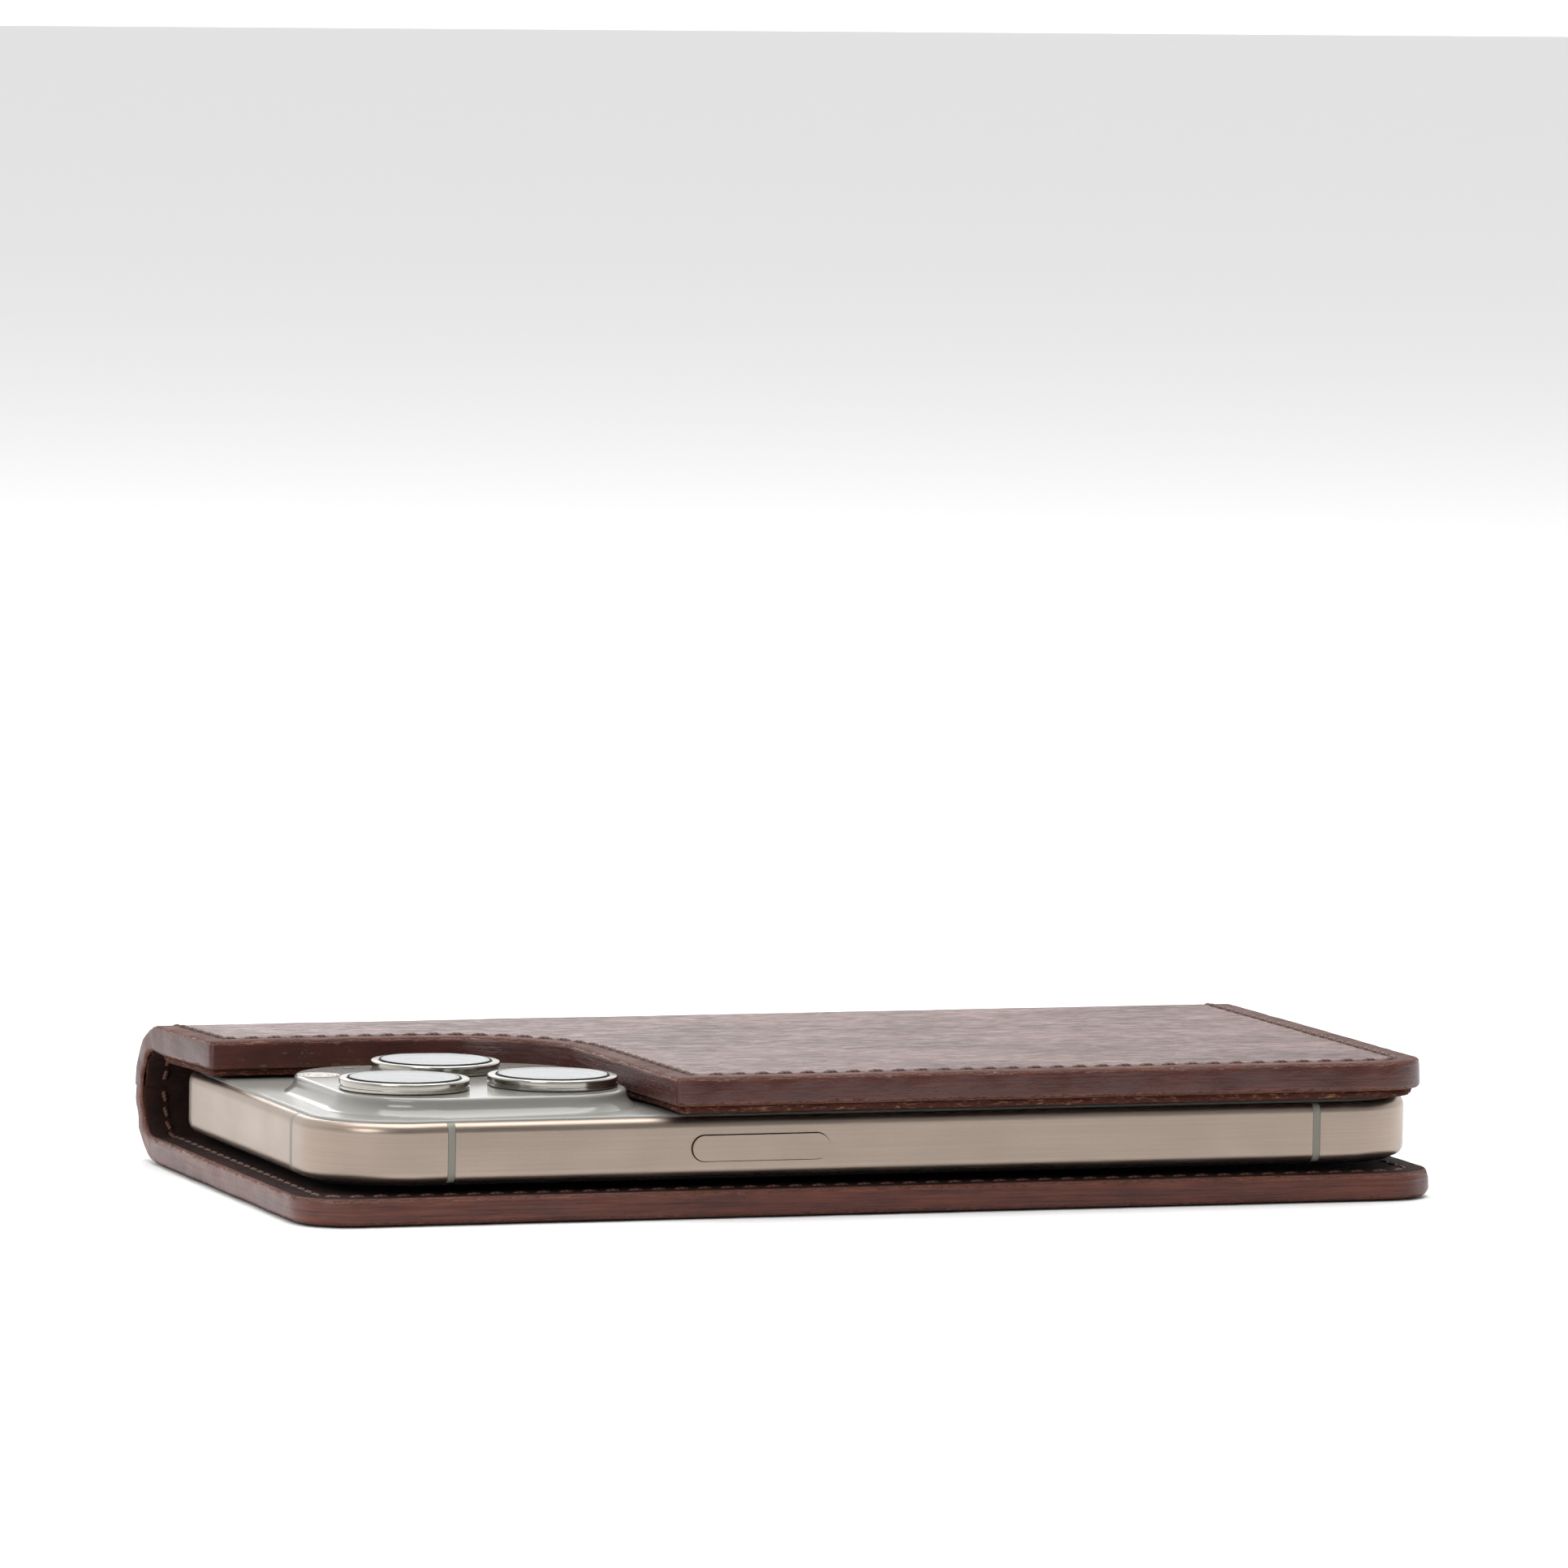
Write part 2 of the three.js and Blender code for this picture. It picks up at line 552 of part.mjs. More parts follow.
function displayGlass() {
  return glassPlate(GLASS.frontTop, PHONE.z)
    .subtract(earpieceSolid(GLASS.seat, 0))
    .subtract(frontCamera(GLASS.seat, 0, FRONT_CAMERA.z1 + GLASS.seat));
}

function lensRing(lens) {
  const { outer, seat, neck, bore, top, neckZ, glassZ } = LENS;
  const round = 0.3;
  return turned([
    [bore, neckZ], [neck, neckZ], [neck, PLATEAU.top + GLASS.seat], [outer, PLATEAU.top + GLASS.seat],
    [outer, top - round], [outer - round * 0.29, top - round * 0.29], [outer - round, top],
    [seat + 0.2, top], [seat + GLASS.seat, top - 0.15], [seat + GLASS.seat, glassZ - GLASS.seat],
    [bore, glassZ - GLASS.seat], [bore, neckZ],
  ], lens.x, lens.y, 40);
}

function lensGlass(lens) {
  const { seat, top, glassZ } = LENS;
  const round = 0.12;
  const face = top - 0.08;
  return turned([
    [0, glassZ], [seat, glassZ], [seat, face - round], [seat - round, face], [0, face],
  ], lens.x, lens.y, 40);
}

function lensBarrel(lens) {
  const { radius, foot, rim, eye, sunk } = BARREL;
  const mouth = LENS.glassZ - 2 * GLASS.seat;
  return turned([
    [0, foot], [radius, foot], [radius, mouth], [radius - rim, mouth], [eye, mouth - sunk], [0, mouth - sunk],
  ], lens.x, lens.y, 24);
}

function camera(group) {
  for (const lens of LENSES) {
    addPart(group, `${lens.name}_lens_ring`, lensRing(lens), 'polished');
    addPart(group, `${lens.name}_lens_glass`, lensGlass(lens), 'lens_glass');
    addPart(group, `${lens.name}_lens_barrel`, lensBarrel(lens), 'dark_plastic');
  }
  for (const window of WINDOWS) {
    const z0 = PLATEAU.top - WINDOW_DEPTH + GLASS.seat;
    const pane = disc(window.x, window.y, window.radius, z0, PLATEAU.top + GLASS.seat);
    addPart(group, window.name, pane, window.finish);
  }
}

function port(group) {
  const mouth = PHONE.endX + PHONE.length - 0.1;
  const back = mouth - PORT.depth;
  const outerWidth = PORT.width - 2 * GLASS.seat;
  const outerHeight = PORT.height - 2 * GLASS.seat;
  const hollow = endSlot(outerWidth - 2 * PORT.wall, outerHeight - 2 * PORT.wall, back + PORT.wall, mouth + 1);
  addPart(group, 'port_shell', endSlot(outerWidth, outerHeight, back, mouth).subtract(hollow), 'polished');
  const tongueY = [PHONE_Y - PORT.tongue / 2, PHONE_Y + PORT.tongue / 2];
  const tongueZ = [SIDE_Z - PORT.tongueThick / 2, SIDE_Z + PORT.tongueThick / 2];
  addPart(group, 'port_tongue', block(back + 0.5, mouth - 0.8, ...tongueY, ...tongueZ), 'dark_plastic');
  [-1, 1].forEach((side, i) => {
    const y = PHONE_Y + side * SCREW.offset;
    const shank = endRod(y, SCREW.radius, mouth - SCREW.length + 0.2, mouth);
    const recess = endRod(y, SCREW.radius / 2, mouth - 0.5, mouth + 1);
    addPart(group, `port_screw_${i + 1}`, shank.subtract(recess), 'polished');
  });
}

// What fills the phone, in plain blocks: screen panel, battery, circuit board, charging coil, magnets.
function internals(group) {
  const { display, battery, circuit, coil, magnets } = INSIDE;
  const slab = ({ x0, x1, y0, y1, z0, z1 }) => prism(outline(rectangle(x0, x1, y0, y1, 1.5), 3), z0, z1);
  const ring = ({ inner, outer, z0, z1 }) => magnetRing(inner, outer, z0, z1);
  const panel = prism(outline(phoneCorners(display.inset), 6), display.z0, display.z1);
  addPart(group, 'display_panel', panel, 'screen');
  addPart(group, 'battery', slab(battery), 'battery');
  addPart(group, 'circuit_board', slab(circuit), 'circuit');
  addPart(group, 'charging_coil', ring(coil), 'copper');
  addPart(group, 'phone_magnet_ring', ring(magnets), 'magnet');
}

function phone() {
  const group = new THREE.Group();
  const band = bandSolid();
  addPart(group, 'phone_frame', phoneFrame(band), 'titanium');
  addPart(group, 'phone_back_glass', backGlass(), 'back_glass');
  addPart(group, 'display_glass', displayGlass(), 'screen');
  addPart(group, 'earpiece_grille', earpieceSolid(0, EARPIECE.z0), 'dark_plastic');
  const { z0, z1 } = FRONT_CAMERA;
  addPart(group, 'front_camera_glass', frontCamera(0, z0, z1), 'lens_glass');
  for (const inlay of INLAYS) {
    addPart(group, inlay.name, band.intersect(inlayBlock(inlay, INLAY.clearance)), 'plastic_strip');
  }
  for (const button of BUTTONS) {
    const [y0, y1] = buttonSpan(button);
    addPart(group, button.name, roundedRod(button.x, button.length, BUTTON.width, y0, y1, 0), 'titanium');
  }
  camera(group);
  port(group);
  internals(group);
  return group;
}

const walletCase = new THREE.Group();
walletCase.add(frontCover(), spine(), backPanel(), phone());

export default walletCase;
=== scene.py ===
"""The looks of the phone wallet case: leather, thread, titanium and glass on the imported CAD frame."""
import math

import bmesh
import bpy
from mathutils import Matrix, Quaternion, Vector, noise


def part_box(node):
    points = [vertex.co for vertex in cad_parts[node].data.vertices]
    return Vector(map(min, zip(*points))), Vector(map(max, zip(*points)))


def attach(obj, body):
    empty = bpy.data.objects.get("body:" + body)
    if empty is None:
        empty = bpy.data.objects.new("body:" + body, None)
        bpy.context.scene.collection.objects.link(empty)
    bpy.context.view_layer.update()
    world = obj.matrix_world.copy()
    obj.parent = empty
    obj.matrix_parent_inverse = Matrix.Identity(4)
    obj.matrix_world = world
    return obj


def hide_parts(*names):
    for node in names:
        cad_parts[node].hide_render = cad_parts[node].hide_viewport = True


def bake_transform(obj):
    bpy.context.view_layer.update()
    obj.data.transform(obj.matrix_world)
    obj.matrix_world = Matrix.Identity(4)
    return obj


MM = 0.001

# The leather runs along the case (x) and round the fold (u), both in mm. u is 0 where a cover's flat part
# ends, negative towards the open edge, and positive round the bend and along the spine. Depth goes inwards
# from the outer face.
HALF_LENGTH = 75.5
OPEN_EDGE_Y = -39.1
SPINE_Y = 39.1  # the outside of the spine
SEAM_Z = 9.3  # the two outer leathers meet here, on the flat of the spine
CORNER_RADIUS = 7.0

# Depths of the layers, each as (its outer face, its inner face) where a sheet has two.
SPINE_LEATHER = 1.3
SPINE_FLOOR = 1.28  # the leather inside its shelf, a hair thinner
SPINE_LINING = (1.33, 2.83)
SPINE_EDGE = 2.73  # the leather's turned edge on the spine
FRONT_LEATHER = 1.0
FRONT_SHELF = 2.38  # the card panel's edge lies on it
FRONT_EDGE = 3.42
FRONT_LINING = (2.41, 3.34)
BACK_SHELF = 3.63
BACK_EDGE = 3.65
BACK_LINING = (3.68, 4.6)
SAG = 0.05  # the outer face's unevenness

# Widths and places along the sheets.
HINGE_LINING_INSET = 0.5
HINGE_LINING_END = -0.95  # u of its edge, next to the card panel
BACK_LINING_INSET = 0.6
TURNED_OVER = 0.44  # how far the leather covers the lining's edge
SHELF_WIDTH = 1.2
LINING_ROUND = 0.3
FAR_IN = 5.0  # the border of every point that is well inside a face

# The back panel is a little shorter than the spine, with an open corner for the camera.
PANEL_CAMERA_X = -73.0
PANEL_PORT_X = 74.1
PANEL_HINGE_X = 73.4
NOTCH_FAR_Y = 12.4
NOTCH_NEAR_X = -27.4
NOTCH_SLOPE = 0.035
NOTCH_RADIUS = 16.0
NOTCH_TIP = 0.8

STITCH_INSET = 3.4
STITCH_PITCH = 3.0
STITCH_LENGTH = 2.75
STITCH_ENDS = 0.3  # left bare at each end of a line
THREAD_RADIUS = 0.30
GROOVE = ((0.9, 0.0), (0.4, 0.3), (0.0, 1.0), (-0.4, 0.3), (-0.9, 0.0))  # (way from the line, share of depth)
LINING_GROOVE = ((-0.8, 0.0), (0.0, 0.25), (0.8, 0.0))  # (way from the line, depth)

# The turned lens rings: heights and radii.
LENS_RING_TOP = 16.4
LENS_RING_SEAT = 15.6  # the seal and the glass lie on it
LENS_RING_FOOT = 15.05
LENS_SKIRT_FOOT = 13.2
LENS_BORE = 6.75
LENS_SKIRT = 7.0
LENS_RIM_WIDTH = 1.02
LENS_SEAL_BORE = 6.3

TITANIUM = (0.375, 0.302, 0.250)
STEEL = (0.43, 0.41, 0.37)
NICKEL = (0.62, 0.60, 0.56)

# Segments of the meshes.
BEND_STEPS = 16
WIDTH_STEPS = 140
LENGTH_STEPS = 34
LATHE_STEPS = 96
NEAR_BEND = -3.0  # u of a waypoint that gives the bend a row of small faces

CREASE_DEGREES = 32  # CAD faces that meet at less than this are one smooth surface

# The camera, found from the places of the phone's corners and buttons.
CAMERA_LENS, CAMERA_SENSOR = 275.2, 36.0
CAMERA_AZIMUTH, CAMERA_ELEVATION, CAMERA_ROLL = -18.77, 4.92, 0.86  # degrees
CAMERA_AIM = (-0.01788, -0.05049, 0.05513)  # m
CAMERA_DISTANCE = 1.477  # m


class Fold:
    """One bend of the case, from a flat cover (side -1 below, +1 above) to the flat of the spine."""

    def __init__(self, centre_y, centre_z, radius, side):
        self.centre_y, self.centre_z = centre_y, centre_z
        self.radius, self.side = radius, side
        self.arc = radius * math.pi / 2
        self.open_u = OPEN_EDGE_Y - centre_y
        self.seam_u = self.arc + abs(SEAM_Z - centre_z)

    def place(self, x, u, depth):
        """The point in the frame, in metres, of a point of the leather."""
        angle = min(max(u / self.radius, 0.0), math.pi / 2)
        inner = self.radius - depth
        y = self.centre_y + inner * math.sin(angle) + min(u, 0.0)
        drop = inner * math.cos(angle) - max(u - self.arc, 0.0)
        return Vector((x, y, self.centre_z + self.side * drop)) * MM


LOWER = Fold(centre_y=30.1, centre_z=9.0, radius=9.0, side=-1)
UPPER = Fold(centre_y=31.6, centre_z=10.1, radius=7.5, side=1)


def smooth(value, low, high):
    """0 up to low, 1 from high on, and a smooth step between them."""
    t = min(max((value - low) / (high - low), 0.0), 1.0)
    return t * t * (3 - 2 * t)


def mix(a, b, t):
    return a + (b - a) * t


def eased(cover, spine, low, high):
    """A depth that changes from the cover's to the spine's between two places u."""
    return lambda u: mix(cover, spine, smooth(u, low, high))


# Outlines


class Corner:
    """A corner of an outline: its place, its fillet's radius and segments, and the side after it, as a list
    of (waypoint u or None for its end, segments)."""

    def __init__(self, x, u, radius=0.0, fillet=0, side=()):
        self.point = Vector((x, u))
        self.radius, self.fillet, self.side = radius, fillet, side


def left_of(direction):
    return Vector((-direction.y, direction.x))


def outline(corners, inset):
    """Points of the open outline, moved inwards (to its left): the same number for every inset."""
    ways = [(b.point - a.point).normalized() for a, b in zip(corners, corners[1:])]
    stops = []
    for k, corner in enumerate(corners):
        before, after = ways[max(k - 1, 0)], ways[min(k, len(ways) - 1)]
        n0, n1 = left_of(before), left_of(after)
        point = corner.point + (n0 + n1) * inset / (1 + n0.dot(n1))
        if k in (0, len(corners) - 1):  # an end of the outline stays on the seam
            point = corner.point + Vector((inset / n0.x, 0.0))
        turn = math.atan2(before.x * after.y - before.y * after.x, before.dot(after))
        if corner.fillet == 0:
            stops.append([point])
            continue
        bend = math.copysign(1.0, turn)
        radius = max(corner.radius - bend * inset, 0.05)
        start = point - before * radius * math.tan(abs(turn) / 2)
        centre = start + n0 * bend * radius
        arc = []
        for step in range(corner.fillet + 1):
            a = turn * step / corner.fillet
            arm = start - centre
            arc.append(centre + Vector((arm.x * math.cos(a) - arm.y * math.sin(a),
                                        arm.x * math.sin(a) + arm.y * math.cos(a))))
        stops.append(arc)
    points = list(stops[0])
    for corner, arc in zip(corners, stops[1:]):
        for way_u, steps in corner.side:
            here = points[-1]
            share = 1.0 if way_u is None else (way_u - here.y) / (arc[0].y - here.y)
            target = here.lerp(arc[0], share)
            points += [here.lerp(target, (step + 1) / steps) for step in range(steps)]
        points += arc[1:]
    return points


def cover_outline():
    """The front cover: a rectangle with two rounded corners on the open edge."""
    x, u = HALF_LENGTH, LOWER.open_u
    return [
        Corner(-x, LOWER.seam_u, side=[(0.0, BEND_STEPS), (NEAR_BEND, 4), (None, LENGTH_STEPS)]),
        Corner(-x, u, CORNER_RADIUS, 10, side=[(None, WIDTH_STEPS)]),
        Corner(x, u, CORNER_RADIUS, 10, side=[(NEAR_BEND, LENGTH_STEPS), (0.0, 4), (None, BEND_STEPS)]),
        Corner(x, LOWER.seam_u),
    ]


def panel_outline(edge=0.0):
    """The back panel: a camera notch cut out of one open corner and the other one rounded. Edge is how far
    the outline lies inside the leather's."""
    u = UPPER.open_u + edge
    far = NOTCH_FAR_Y - UPPER.centre_y + edge
    near_x = NOTCH_NEAR_X + edge
    far_x = near_x - NOTCH_SLOPE * (far - u)
    hinge_x = mix(-HALF_LENGTH, PANEL_CAMERA_X, UPPER.radius / (SPINE_Y - NOTCH_FAR_Y)) + edge
    return [
        Corner(edge - HALF_LENGTH, UPPER.seam_u, side=[(None, BEND_STEPS)]),
        Corner(hinge_x, 0.0, side=[(NEAR_BEND, 4), (-14.0, 5), (None, 2)]),
        Corner(PANEL_CAMERA_X + edge, far, NOTCH_TIP, 5, side=[(None, 16)]),
        Corner(far_x, far, NOTCH_RADIUS, 16, side=[(None, 12)]),
        Corner(near_x, u, NOTCH_TIP, 5, side=[(None, WIDTH_STEPS)]),
        Corner(PANEL_PORT_X - edge, u, CORNER_RADIUS, 12,
               side=[(far + NOTCH_TIP, 21), (-14.0, 23), (NEAR_BEND, 5), (None, 4)]),
        Corner(PANEL_HINGE_X - edge, 0.0, side=[(None, BEND_STEPS)]),
        Corner(HALF_LENGTH - edge, UPPER.seam_u),
    ]


def hinge_outline():
    """The lining of the lower bend: a strip from the edge of the card panel up to the seam."""
    x = HALF_LENGTH - HINGE_LINING_INSET
    return [
        Corner(-x, LOWER.seam_u, side=[(0.0, BEND_STEPS), (None, 4)]),
        Corner(-x, HINGE_LINING_END, 0.3, 2, side=[(None, WIDTH_STEPS)]),
        Corner(x, HINGE_LINING_END, 0.3, 2, side=[(0.0, 4), (None, BEND_STEPS)]),
        Corner(x, LOWER.seam_u),
    ]


# Sheets


def leather_rings(thickness, shelf, floor, groove, lip):
    """(inset, depth) from the outer face over the edge to the inner face: the edge is as thick as
    thickness(u) with arrises rounded by lip, the lining lies on the shelf inside it, and the leather's flat
    part is as thick as the floor. Groove is the depth under the stitches."""
    rings = [(STITCH_INSET + way, share * groove) for way, share in GROOVE]
    rings.append((1.5, 0.0))
    quarter = [math.radians(a) for a in (0, 22.5, 45, 67.5, 90)]
    rings += [(lip * (1 - math.sin(a)), lip * (1 - math.cos(a))) for a in quarter]
    under = [(TURNED_OVER * (1 - math.cos(a)), lip * (1 - math.sin(a))) for a in quarter]
    rings += [(inset, lambda u, up=up: thickness(u) - up) for inset, up in under]
    rings += [(TURNED_OVER, shelf), (SHELF_WIDTH, shelf), (SHELF_WIDTH, floor)]
    return rings


def lining_rings(outer, inner):
    """(inset, depth) of a lining, from the face against the leather to the face seen from inside."""
    lip = LINING_ROUND
    quarter = [math.radians(a) for a in (0, 45, 90)]
    rings = [(lip, outer)]
    for a in quarter[1:]:
        rings.append((lip * (1 - math.sin(a)), lambda u, a=a: outer(u) + lip * (1 - math.cos(a))))
    for a in quarter:
        rings.append((lip * (1 - math.cos(a)), lambda u, a=a: inner(u) - lip * (1 - math.sin(a))))
    for way, dip in LINING_GROOVE:
        rings.append((STITCH_INSET + way, lambda u, dip=dip: inner(u) - dip))
    return rings


def depth_at(depth, u):
    return depth(u) if callable(depth) else depth


def waver(x, u, seed):
    """A smooth random number from -1 to 1 that changes over a few centimetres."""
    return noise.noise(Vector((x / 17, u / 11, seed)))


def ragged(x, u, seed):
    """A random number from 0 to 1 that changes over a few millimetres, with nicks in between."""
    slow = noise.noise(Vector((x / 4.1, u / 4.1, seed)))
    nick = noise.noise(Vector((x / 1.7, u / 1.7, seed + 4)))
    return min(max(0.45 + 0.55 * slow + 0.6 * nick * abs(nick) * 2, 0.0), 1.0)


def sheet(name, fold, corners, rings, faces, seed, fray):
    """A closed folded sheet. Its first ring bounds the outer face and its last ring the inner face. Faces is
    the depth of the edge's outer and inner arris. The attributes are grain, the place on the unfolded sheet,
    and border, the way from the nearer arris: positive on the faces and negative down the edge."""
    bm = bmesh.new()
    grain = bm.verts.layers.float_vector.new("grain")
    border = bm.verts.layers.float.new("border")
    count = len(outline(corners, 0.0))
    rows = (count - 1 - WIDTH_STEPS) // 2

    def vertex(point, inset, depth):
        x, u = point
        settled = depth + SAG * waver(x, u, seed) * max(0.0, 1 - depth)
        made = bm.verts.new(fold.place(x, u, settled))
        made[grain] = (x, u, depth)
        outer, inner = (depth_at(face, u) for face in faces)
        made[border] = inset - max(min(depth - outer, inner - depth), 0.0)
        return made

    def grid(inset, depth):
        """The flat part of a face, in rows from one side of the outline to the other."""
        edge = outline(corners, inset)
        lines = []
        for i in range(rows + 1):
            a, b = edge[i], edge[-1 - i]
            line = []
            for j in range(WIDTH_STEPS + 1):
                point = a.lerp(b, j / WIDTH_STEPS)
                border_here = inset if j in (0, WIDTH_STEPS) else FAR_IN
                line.append(vertex(point, border_here, depth_at(depth, point.y)))
            lines.append(line)
        for upper, lower in zip(lines, lines[1:]):
            for j in range(WIDTH_STEPS):
                bm.faces.new((upper[j], upper[j + 1], lower[j + 1], lower[j]))
        left = [line[0] for line in lines]
        right = [line[-1] for line in reversed(lines)]
        return left + lines[-1][1:-1] + right

    loops = [grid(*rings[0])]
    for inset, depth in rings[1:-1]:
        near, far = outline(corners, inset), outline(corners, inset + fray)
        loop = []
        for a, b in zip(near, far):
            frayed = ragged(a.x, a.y, seed + depth_at(depth, a.y)) if inset < 1.0 else 0.0
            point = a.lerp(b, frayed)
            loop.append(vertex(point, inset, depth_at(depth, point.y)))
        loops.append(loop)
    loops.append(grid(*rings[-1]))
    for a, b in zip(loops, loops[1:]):
        for k in range(count - 1):
            bm.faces.new((a[k], a[k + 1], b[k + 1], b[k]))
    bmesh.ops.holes_fill(bm, edges=[e for e in bm.edges if e.is_boundary], sides=0)
    bmesh.ops.recalc_face_normals(bm, faces=bm.faces)
    return finished(name, bm, 50)


def finished(name, bm, sharp_degrees):
    """The mesh as an object, smooth but for its edges sharper than this."""
    mesh = bpy.data.meshes.new(name)
    bm.to_mesh(mesh)
    bm.free()
    mesh.shade_smooth()
    mesh.set_sharp_from_angle(angle=math.radians(sharp_degrees))
    piece = bpy.data.objects.new(name, mesh)
    bpy.context.scene.collection.objects.link(piece)
    return piece


def lathe(name, profile, centre):
    """A turned piece: the closed profile of (radius, z) in mm, about an upright axis."""
    bm = bmesh.new()
    rings = []
    for radius, z in profile:
        ring = []
        for k in range(LATHE_STEPS if radius > 0 else 1):
            a = 2 * math.pi * k / LATHE_STEPS
            place = Vector((centre[0] + radius * math.cos(a), centre[1] + radius * math.sin(a), z))
            ring.append(bm.verts.new(place * MM))
        rings.append(ring)
    for a, b in zip(rings, rings[1:] + rings[:1]):
        for k in range(LATHE_STEPS):
            corners = [a[k % len(a)], a[(k + 1) % len(a)], b[(k + 1) % len(b)], b[k % len(b)]]
            corners = list(dict.fromkeys(corners))
            if len(corners) > 2:
                bm.faces.new(corners)
    bmesh.ops.recalc_face_normals(bm, faces=bm.faces)
    return finished(name, bm, 28)


def rounded(corner_radius, corner_z, round_radius):
    """Points round the upper outer corner of a profile, from its side to its top."""
    steps = 5
    points = []
    for step in range(steps + 1):
        a = math.pi / 2 * step / steps
        points.append((corner_radius - round_radius * (1 - math.cos(a)),
                       corner_z - round_radius * (1 - math.sin(a))))
    return points


# Stitching


def thread(name, fold, corners, depth, side):
    """Saddle stitches inside an outline. side is -1 on the outer face and +1 on the inner face."""
    bm = bmesh.new()
    twist = bm.verts.layers.float.new("twist")
    path = outline(corners, STITCH_INSET)
    lengths = [0.0]
    for a, b in zip(path, path[1:]):
        lengths.append(lengths[-1] + (b - a).length)
    run = lengths[-1] - 2 * STITCH_ENDS
    stitches = round(run / STITCH_PITCH)
    for number in range(stitches):
        middle = STITCH_ENDS + run * (number + 0.5) / stitches
        k = max(i for i in range(len(path) - 1) if lengths[i] <= middle)
        way = (path[k + 1] - path[k]).normalized()
        centre = path[k].lerp(path[k + 1], (middle - lengths[k]) / (lengths[k + 1] - lengths[k]))
        stitch(bm, twist, fold, centre, way, depth, side, number)
    bmesh.ops.recalc_face_normals(bm, faces=bm.faces)
    return finished(name, bm, 60)


def stitch(bm, twist, fold, centre, way, depth, side, number):
    """One stitch: a short arched length of thread, slanted to the line, its ends sunk in the leather."""
    steps, sides = 6, 8
    across = left_of(way)
    slant = 0.13 + 0.05 * noise.noise(Vector((number * 1.7, 3.1, 0.0)))
    spine = []
    for step in range(steps + 1):
        along = (step / steps - 0.5) * STITCH_LENGTH
        flat = centre + way * along + across * along * slant
        sink = 0.55 * abs(2 * step / steps - 1) ** 3 * THREAD_RADIUS * 3
        spine.append((flat, depth_at(depth, flat.y) - side * sink))
    points = [fold.place(p.x, p.y, d) for p, d in spine]
    face = spine[0][1]
    up = fold.place(centre.x, centre.y, face + side) - fold.place(centre.x, centre.y, face)
    up.normalize()
    rings = []
    for step, point in enumerate(points):
        tangent = (points[min(step + 1, steps)] - points[max(step - 1, 0)]).normalized()
        sideways = tangent.cross(up).normalized()
        thickness = THREAD_RADIUS * MM * (0.7 if step in (0, steps) else 1.0)
        ring = []
        for k in range(sides):
            a = 2 * math.pi * k / sides
            made = bm.verts.new(point + (sideways * math.cos(a) * 1.15 + up * math.sin(a)) * thickness)
            made[twist] = step / steps * 4.0 + k / sides
            ring.append(made)
        rings.append(ring)
    for a, b in zip(rings, rings[1:]):
        for k in range(sides):
            bm.faces.new((a[k], a[(k + 1) % sides], b[(k + 1) % sides], b[k]))
    bm.faces.new(rings[0])
    bm.faces.new(rings[-1])


# Materials


